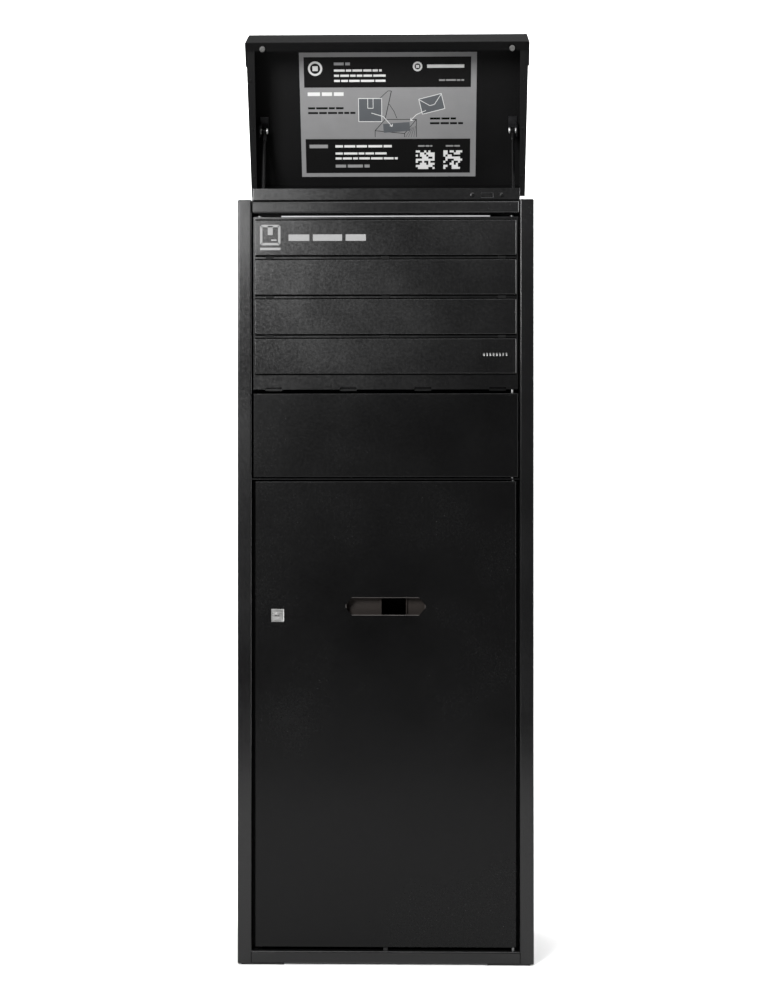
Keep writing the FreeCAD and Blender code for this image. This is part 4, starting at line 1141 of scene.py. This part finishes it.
@dataclass
class StayFittings:
    """Ball sockets and glands of the two lid stays: collars, washers and rolled tube mouths."""

    collar_radius: float = 0.0042
    collar_length: float = 0.012
    collar_drop: float = 0.0055
    washer_radius: float = 0.0050
    washer_thickness: float = 0.0022
    gland_radius: float = 0.0042
    gland_wire: float = 0.0009
    gland_setback: float = 0.0012

    def build(self) -> None:
        """Makes the fittings of both stays."""
        for letter, word in (("l", "left"), ("r", "right")):
            pivot = Vector(joint_named(f"stay_pivot_{letter}")["pos_m"])
            way = Vector(joint_named(f"stay_slide_{letter}")["axis"]).normalized()
            self.socket(word, letter, pivot, way)
            self.gland(word, letter, way)

    def socket(self, word: str, letter: str, pivot: Vector, way: Vector) -> None:
        """Collar under the rod's eye, and bright washers on both sides of the eye.

        Args:
            word: side in full.
            letter: side's letter in the joint names.
            pivot: centre of the rod's eye.
            way: direction of the stay, towards the eye.
        """
        across = Vector((1.0, 0.0, 0.0))
        foot = pivot - way * (self.collar_length + self.collar_drop)
        collar = disc_piece(self.collar_radius, self.collar_length, frame_facing(foot, way, across), 24)
        shape_faces(collar, facing(way), inset(0.0008, 0.0006))
        shape_faces(collar, facing(-way), inset(0.0010, 0.0008))
        rounded(collar, 0.0003)
        placed(collar, f"stay_collar_{word}", f"stay_rod_{letter}", Finish.LACQUER)
        low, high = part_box(f"stay_rod_{word}")
        washers = []
        for face, out in ((low.x, -across), (high.x, across)):
            seat = Vector((face, pivot.y, pivot.z))
            washer = disc_piece(self.washer_radius, self.washer_thickness, frame_facing(seat, out, way), 28)
            shape_faces(washer, facing(out), inset(0.0012, 0.0002), inset(0.0010, -0.0003))
            washers.append(rounded(washer, 0.0003))
        piece = together(washers)
        smooth(piece)
        placed(piece, f"stay_washers_{word}", f"stay_rod_{letter}", Finish.BRIGHT_ZINC)

    def gland(self, word: str, letter: str, way: Vector) -> None:
        """Rolled mouth of the pressure tube.

        Args:
            word: side in full.
            letter: side's letter in the joint names.
            way: direction of the stay, towards the eye.
        """
        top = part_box(f"stay_tube_{word}")[1].z
        pivot = Vector(joint_named(f"stay_pivot_{letter}")["pos_m"])
        rise = (top - self.gland_setback - pivot.z) / way.z
        mouth = pivot + way * rise
        across = Vector((1.0, 0.0, 0.0))
        deselect()
        bpy.ops.mesh.primitive_torus_add(major_radius=self.gland_radius, minor_radius=self.gland_wire,
                                         major_segments=32, minor_segments=10)
        ring = bpy.context.object
        ring.data.transform(frame_facing(mouth, way, across))
        smooth(ring)
        placed(ring, f"stay_gland_{word}", f"stay_tube_{letter}", Finish.LACQUER)


@dataclass
class FrontSeams:
    """Painted shade strips round the slats and along the rim's foot, painted highlight strips and fascia
    screws.
    """

    seam: float = 0.0022
    depth: float = 0.0006
    rim_shade_strip: float = 0.0034
    rim_depth: float = 0.0012
    edge_width: float = 0.0008
    edge_lift: float = 0.0002
    screw_radius: float = 0.0032
    screw_height: float = 0.0018
    screw_inset: float = 0.0095

    def build(self) -> None:
        """Makes the painted shade strips, the painted highlight strips and the screws."""
        strips = []
        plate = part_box("fascia_backing")[0].y
        # painted shade: near-black strips along the slats' top and bottom edges, where the gaps lie in
        # shadow
        for index in range(1, 5):
            low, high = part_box(f"fascia_slat_{index}")
            for start in (low.z - self.seam, high.z):
                strips.append(self.strip((low.x, plate - self.depth, start),
                                         (high.x, plate, start + self.seam)))
        placed(together(strips), "slat_shade_strips", "cabinet", Finish.PAINTED_SHADE_STRIP)
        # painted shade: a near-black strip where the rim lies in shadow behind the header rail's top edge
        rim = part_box("rim_strip")
        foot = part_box("header_rail")[1].z + self.rim_depth
        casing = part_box("side_casing_right")[0].x
        dark_strip = self.strip((-casing, rim[0].y - self.rim_depth, foot),
                          (casing, rim[0].y, foot + self.rim_shade_strip + self.rim_depth))
        placed(dark_strip, "rim_shade_strip", "cabinet", Finish.PAINTED_SHADE_STRIP)
        self.painted_highlight_strips()
        self.screws()

    def strip(self, low: Sequence[float], high: Sequence[float]) -> bpy.types.Object:
        """One near-black strip of painted shade with a rounded face.

        Args:
            low: lowest corner.
            high: highest corner.

        Returns:
            The seam.
        """
        dark_strip = box_piece(low, high)
        shape_faces(dark_strip, facing((0, -1, 0)), inset(0.0004, 0.0001))
        smooth(dark_strip)
        return dark_strip

    def painted_highlight_strips(self) -> None:
        """Pale strips of painted highlight at the right ends of the slats and the header rail."""
        edges = []
        for node in ("header_rail", *(f"fascia_slat_{index}" for index in range(1, 5))):
            low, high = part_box(node)
            edge = box_piece((high.x - self.edge_width, low.y - self.edge_lift, low.z + self.edge_width),
                             (high.x, low.y + self.edge_width, high.z - self.edge_width))
            edges.append(rounded(edge, self.edge_lift))
        placed(together(edges), "painted_highlight_strips", "cabinet", Finish.PAINTED_HIGHLIGHT_STRIP)

    def screws(self) -> None:
        """Two screws with a recessed head that stand on the fascia plate's top return."""
        low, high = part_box("fascia_backing")
        screws = []
        for x in (low.x + self.screw_inset, high.x - self.screw_inset):
            seat = (x, low.y + self.screw_radius + 0.001, high.z)
            upright = frame_facing(seat, (0, 0, 1), (0, 1, 0))
            screw = disc_piece(self.screw_radius, self.screw_height, upright, 24)
            shape_faces(screw, facing((0, 0, 1)), inset(0.0009, 0.0005), inset(0.0010, -0.0004))
            screws.append(screw)
        piece = together(screws)
        smooth(piece)
        placed(piece, "fascia_screws", "cabinet", Finish.DULL_STEEL)


@dataclass
class GripLip:
    """Moulded lip of the pocket, set just inside the door's slot; its gloss catches real light, its paler
    colour is painted highlight.
    """

    size: tuple[float, float] = (0.1237, 0.0284)
    chamfer: tuple[float, float] = (0.010, 0.012)
    wide: float = 0.0009
    depth: float = 0.0012

    def build(self) -> None:
        """Makes the lip."""
        low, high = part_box("grip_cup")
        centre = middle_of((low, high))
        seat = Vector((centre.x, low.y, centre.z))
        deselect()
        bpy.ops.mesh.primitive_plane_add(size=1.0)
        lip = bpy.context.object
        squash = (self.size[0] / self.chamfer[0], self.size[1] / self.chamfer[1])
        lip.data.transform(Matrix.Diagonal((*squash, 1.0, 1.0)))
        shape_faces(lip, lambda face: True,
                    lambda: bpy.ops.mesh.bevel(offset=1.0, affect="VERTICES", offset_type="WIDTH",
                                               segments=1))
        lip.data.transform(Matrix.Diagonal((*self.chamfer, 1.0, 1.0)))
        shape_faces(lip, lambda face: True, inset(self.wide, 0.0), lambda: bpy.ops.mesh.delete(type="FACE"))
        applied(lip, "SOLIDIFY", thickness=self.depth, offset=1.0)
        lip.data.transform(frame_facing(seat, (0, -1, 0), (0, 0, 1)))
        rounded(lip, 0.0002, 1)
        placed(lip, "grip_lip", "parcel_door", Finish.LIP_PLASTIC)


@dataclass
class LockFace:
    """Turned ring on the face of the key lock's plug."""

    ring: float = 0.0040
    wire: float = 0.00035

    def build(self) -> None:
        """Makes the ring on the lock's plug."""
        low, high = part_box("lock_plug")
        centre = middle_of((low, high))
        face = Vector((centre.x, low.y, centre.z))
        deselect()
        bpy.ops.mesh.primitive_torus_add(major_radius=self.ring, minor_radius=self.wire,
                                         major_segments=40, minor_segments=8)
        ring = bpy.context.object
        ring.data.transform(frame_facing(face, (0, -1, 0), (0, 0, 1)))
        smooth(ring)
        placed(ring, "lock_plug_ring", "lock_core", Finish.CHROME)


# ---- studio ------------------------------------------------------------------------------------------
@dataclass
class Studio:
    """Pale seamless floor, soft lights and the camera."""

    eye: tuple[float, float, float] = (0.052, -2.882, 0.7213)
    lens: float = 63.9
    yaw: float = 0.0189
    floor_shade: float = 0.86
    floor_width: float = 9.0
    floor_front: float = -2.2
    floor_rear: float = 4.5
    backdrop_height: float = 3.0
    sweep_radius: float = 1.6
    sweep_segments: int = 16
    floor_drop: float = 0.0002
    world_strength: float = 0.06

    def build(self) -> None:
        """Makes the whole studio."""
        self.floor()
        self.lights()
        self.camera()

    def floor(self) -> None:
        """Floor that sweeps up into a backdrop behind the locker."""
        deselect()
        bpy.ops.mesh.primitive_plane_add(size=1.0, location=(0, 0, 0))
        sweep = bpy.context.object
        depth = self.floor_rear - self.floor_front
        middle = (self.floor_rear + self.floor_front) / 2
        sweep.data.transform(Matrix.Translation((0.0, middle, -self.floor_drop))
                             @ Matrix.Diagonal((self.floor_width, depth, 1.0, 1.0)))
        activate(sweep)
        rear = max(vertex.co.y for vertex in sweep.data.vertices)
        for vertex in sweep.data.vertices:
            vertex.select = vertex.co.y > rear - 0.01
        for edge in sweep.data.edges:
            edge.select = all(sweep.data.vertices[i].select for i in edge.vertices)
        for face in sweep.data.polygons:
            face.select = False
        bpy.context.tool_settings.mesh_select_mode = (False, True, False)
        bpy.ops.object.mode_set(mode="EDIT")
        bpy.ops.mesh.extrude_region_move(TRANSFORM_OT_translate={"value": (0.0, 0.0, self.backdrop_height)})
        bpy.ops.object.mode_set(mode="OBJECT")
        applied(sweep, "BEVEL", width=self.sweep_radius, segments=self.sweep_segments,
                limit_method="ANGLE", angle_limit=math.radians(40))
        smooth(sweep)
        sweep.name = "seamless_floor"
        graph = Graph("studio_paper")
        shade = graph.noise(3.0, 2.0)
        low = (self.floor_shade * 0.99,) * 3
        high = (self.floor_shade,) * 3
        sweep.data.materials.append(graph.surface(graph.blend(shade, low, high), 0.9, specular=0.1))

    def lights(self) -> None:
        """Large soft key on the left, weak fill on the right and a light for the backdrop."""
        self.panel("key_left", (-1.12, -2.75, 1.80), (-0.15, -0.13, 1.1), (0.8, 1.1), 138.0)
        self.panel("strip_right", (1.7, -0.45, 1.0), (0.2, -0.1, 0.8), (0.3, 2.0), 26.0)
        self.panel("top_soft", (0.0, 0.9, 3.2), (0.0, 0.5, 0.0), (2.4, 1.2), 35.0)
        self.panel("backdrop", (0.0, 1.8, 3.2), (0.0, 4.4, 1.0), (5.0, 1.2), 420.0)
        self.panel("floor_wash", (0.0, -1.0, 2.9), (0.0, -0.7, 0.0), (2.4, 0.8), 42.0)
        world = bpy.data.worlds.new("studio_world")
        world.use_nodes = True
        background = world.node_tree.nodes["Background"]
        background.inputs["Color"].default_value = (1.0, 1.0, 1.0, 1.0)
        background.inputs["Strength"].default_value = self.world_strength
        bpy.context.scene.world = world

    def panel(self, name: str, place: Sequence[float], target: Sequence[float],
              size: Sequence[float], power: float) -> None:
        """Adds one rectangular soft light aimed at a point.

        Args:
            name: of the light.
            place: where it stands.
            target: point that it faces.
            size: width and height.
            power: in watts.
        """
        light = bpy.data.lights.new(name, "AREA")
        light.shape = "RECTANGLE"
        light.size, light.size_y = size
        light.energy = power
        lamp = bpy.data.objects.new(name, light)
        bpy.context.scene.collection.objects.link(lamp)
        lamp.location = place
        lamp.rotation_euler = (Vector(target) - Vector(place)).to_track_quat("-Z", "Y").to_euler()

    def camera(self) -> None:
        """Level camera in front of the locker."""
        data = bpy.data.cameras.new("camera")
        data.lens = self.lens
        data.sensor_width = 36.0
        camera = bpy.data.objects.new("camera", data)
        bpy.context.scene.collection.objects.link(camera)
        camera.location = self.eye
        camera.rotation_euler = (math.radians(90.0), 0.0, self.yaw)
        bpy.context.scene.camera = camera
        bpy.context.scene.view_settings.view_transform = "Standard"


def main() -> None:
    """Builds the studio, dresses the CAD nodes and adds the detailed pieces."""
    logging.basicConfig(level=logging.INFO, format="%(name)s: %(message)s")
    Studio().build()
    CadDress().dress()
    for assembly in (LidLabel(), FasciaMarks(), FrontSeams(), SocketHeads(), BlindRivets(),
                     Buffers(), StayFittings(), GripLip(), LockFace()):
        assembly.build()
        LOG.info("%s built", type(assembly).__name__)


if __name__ == "__main__":
    main()
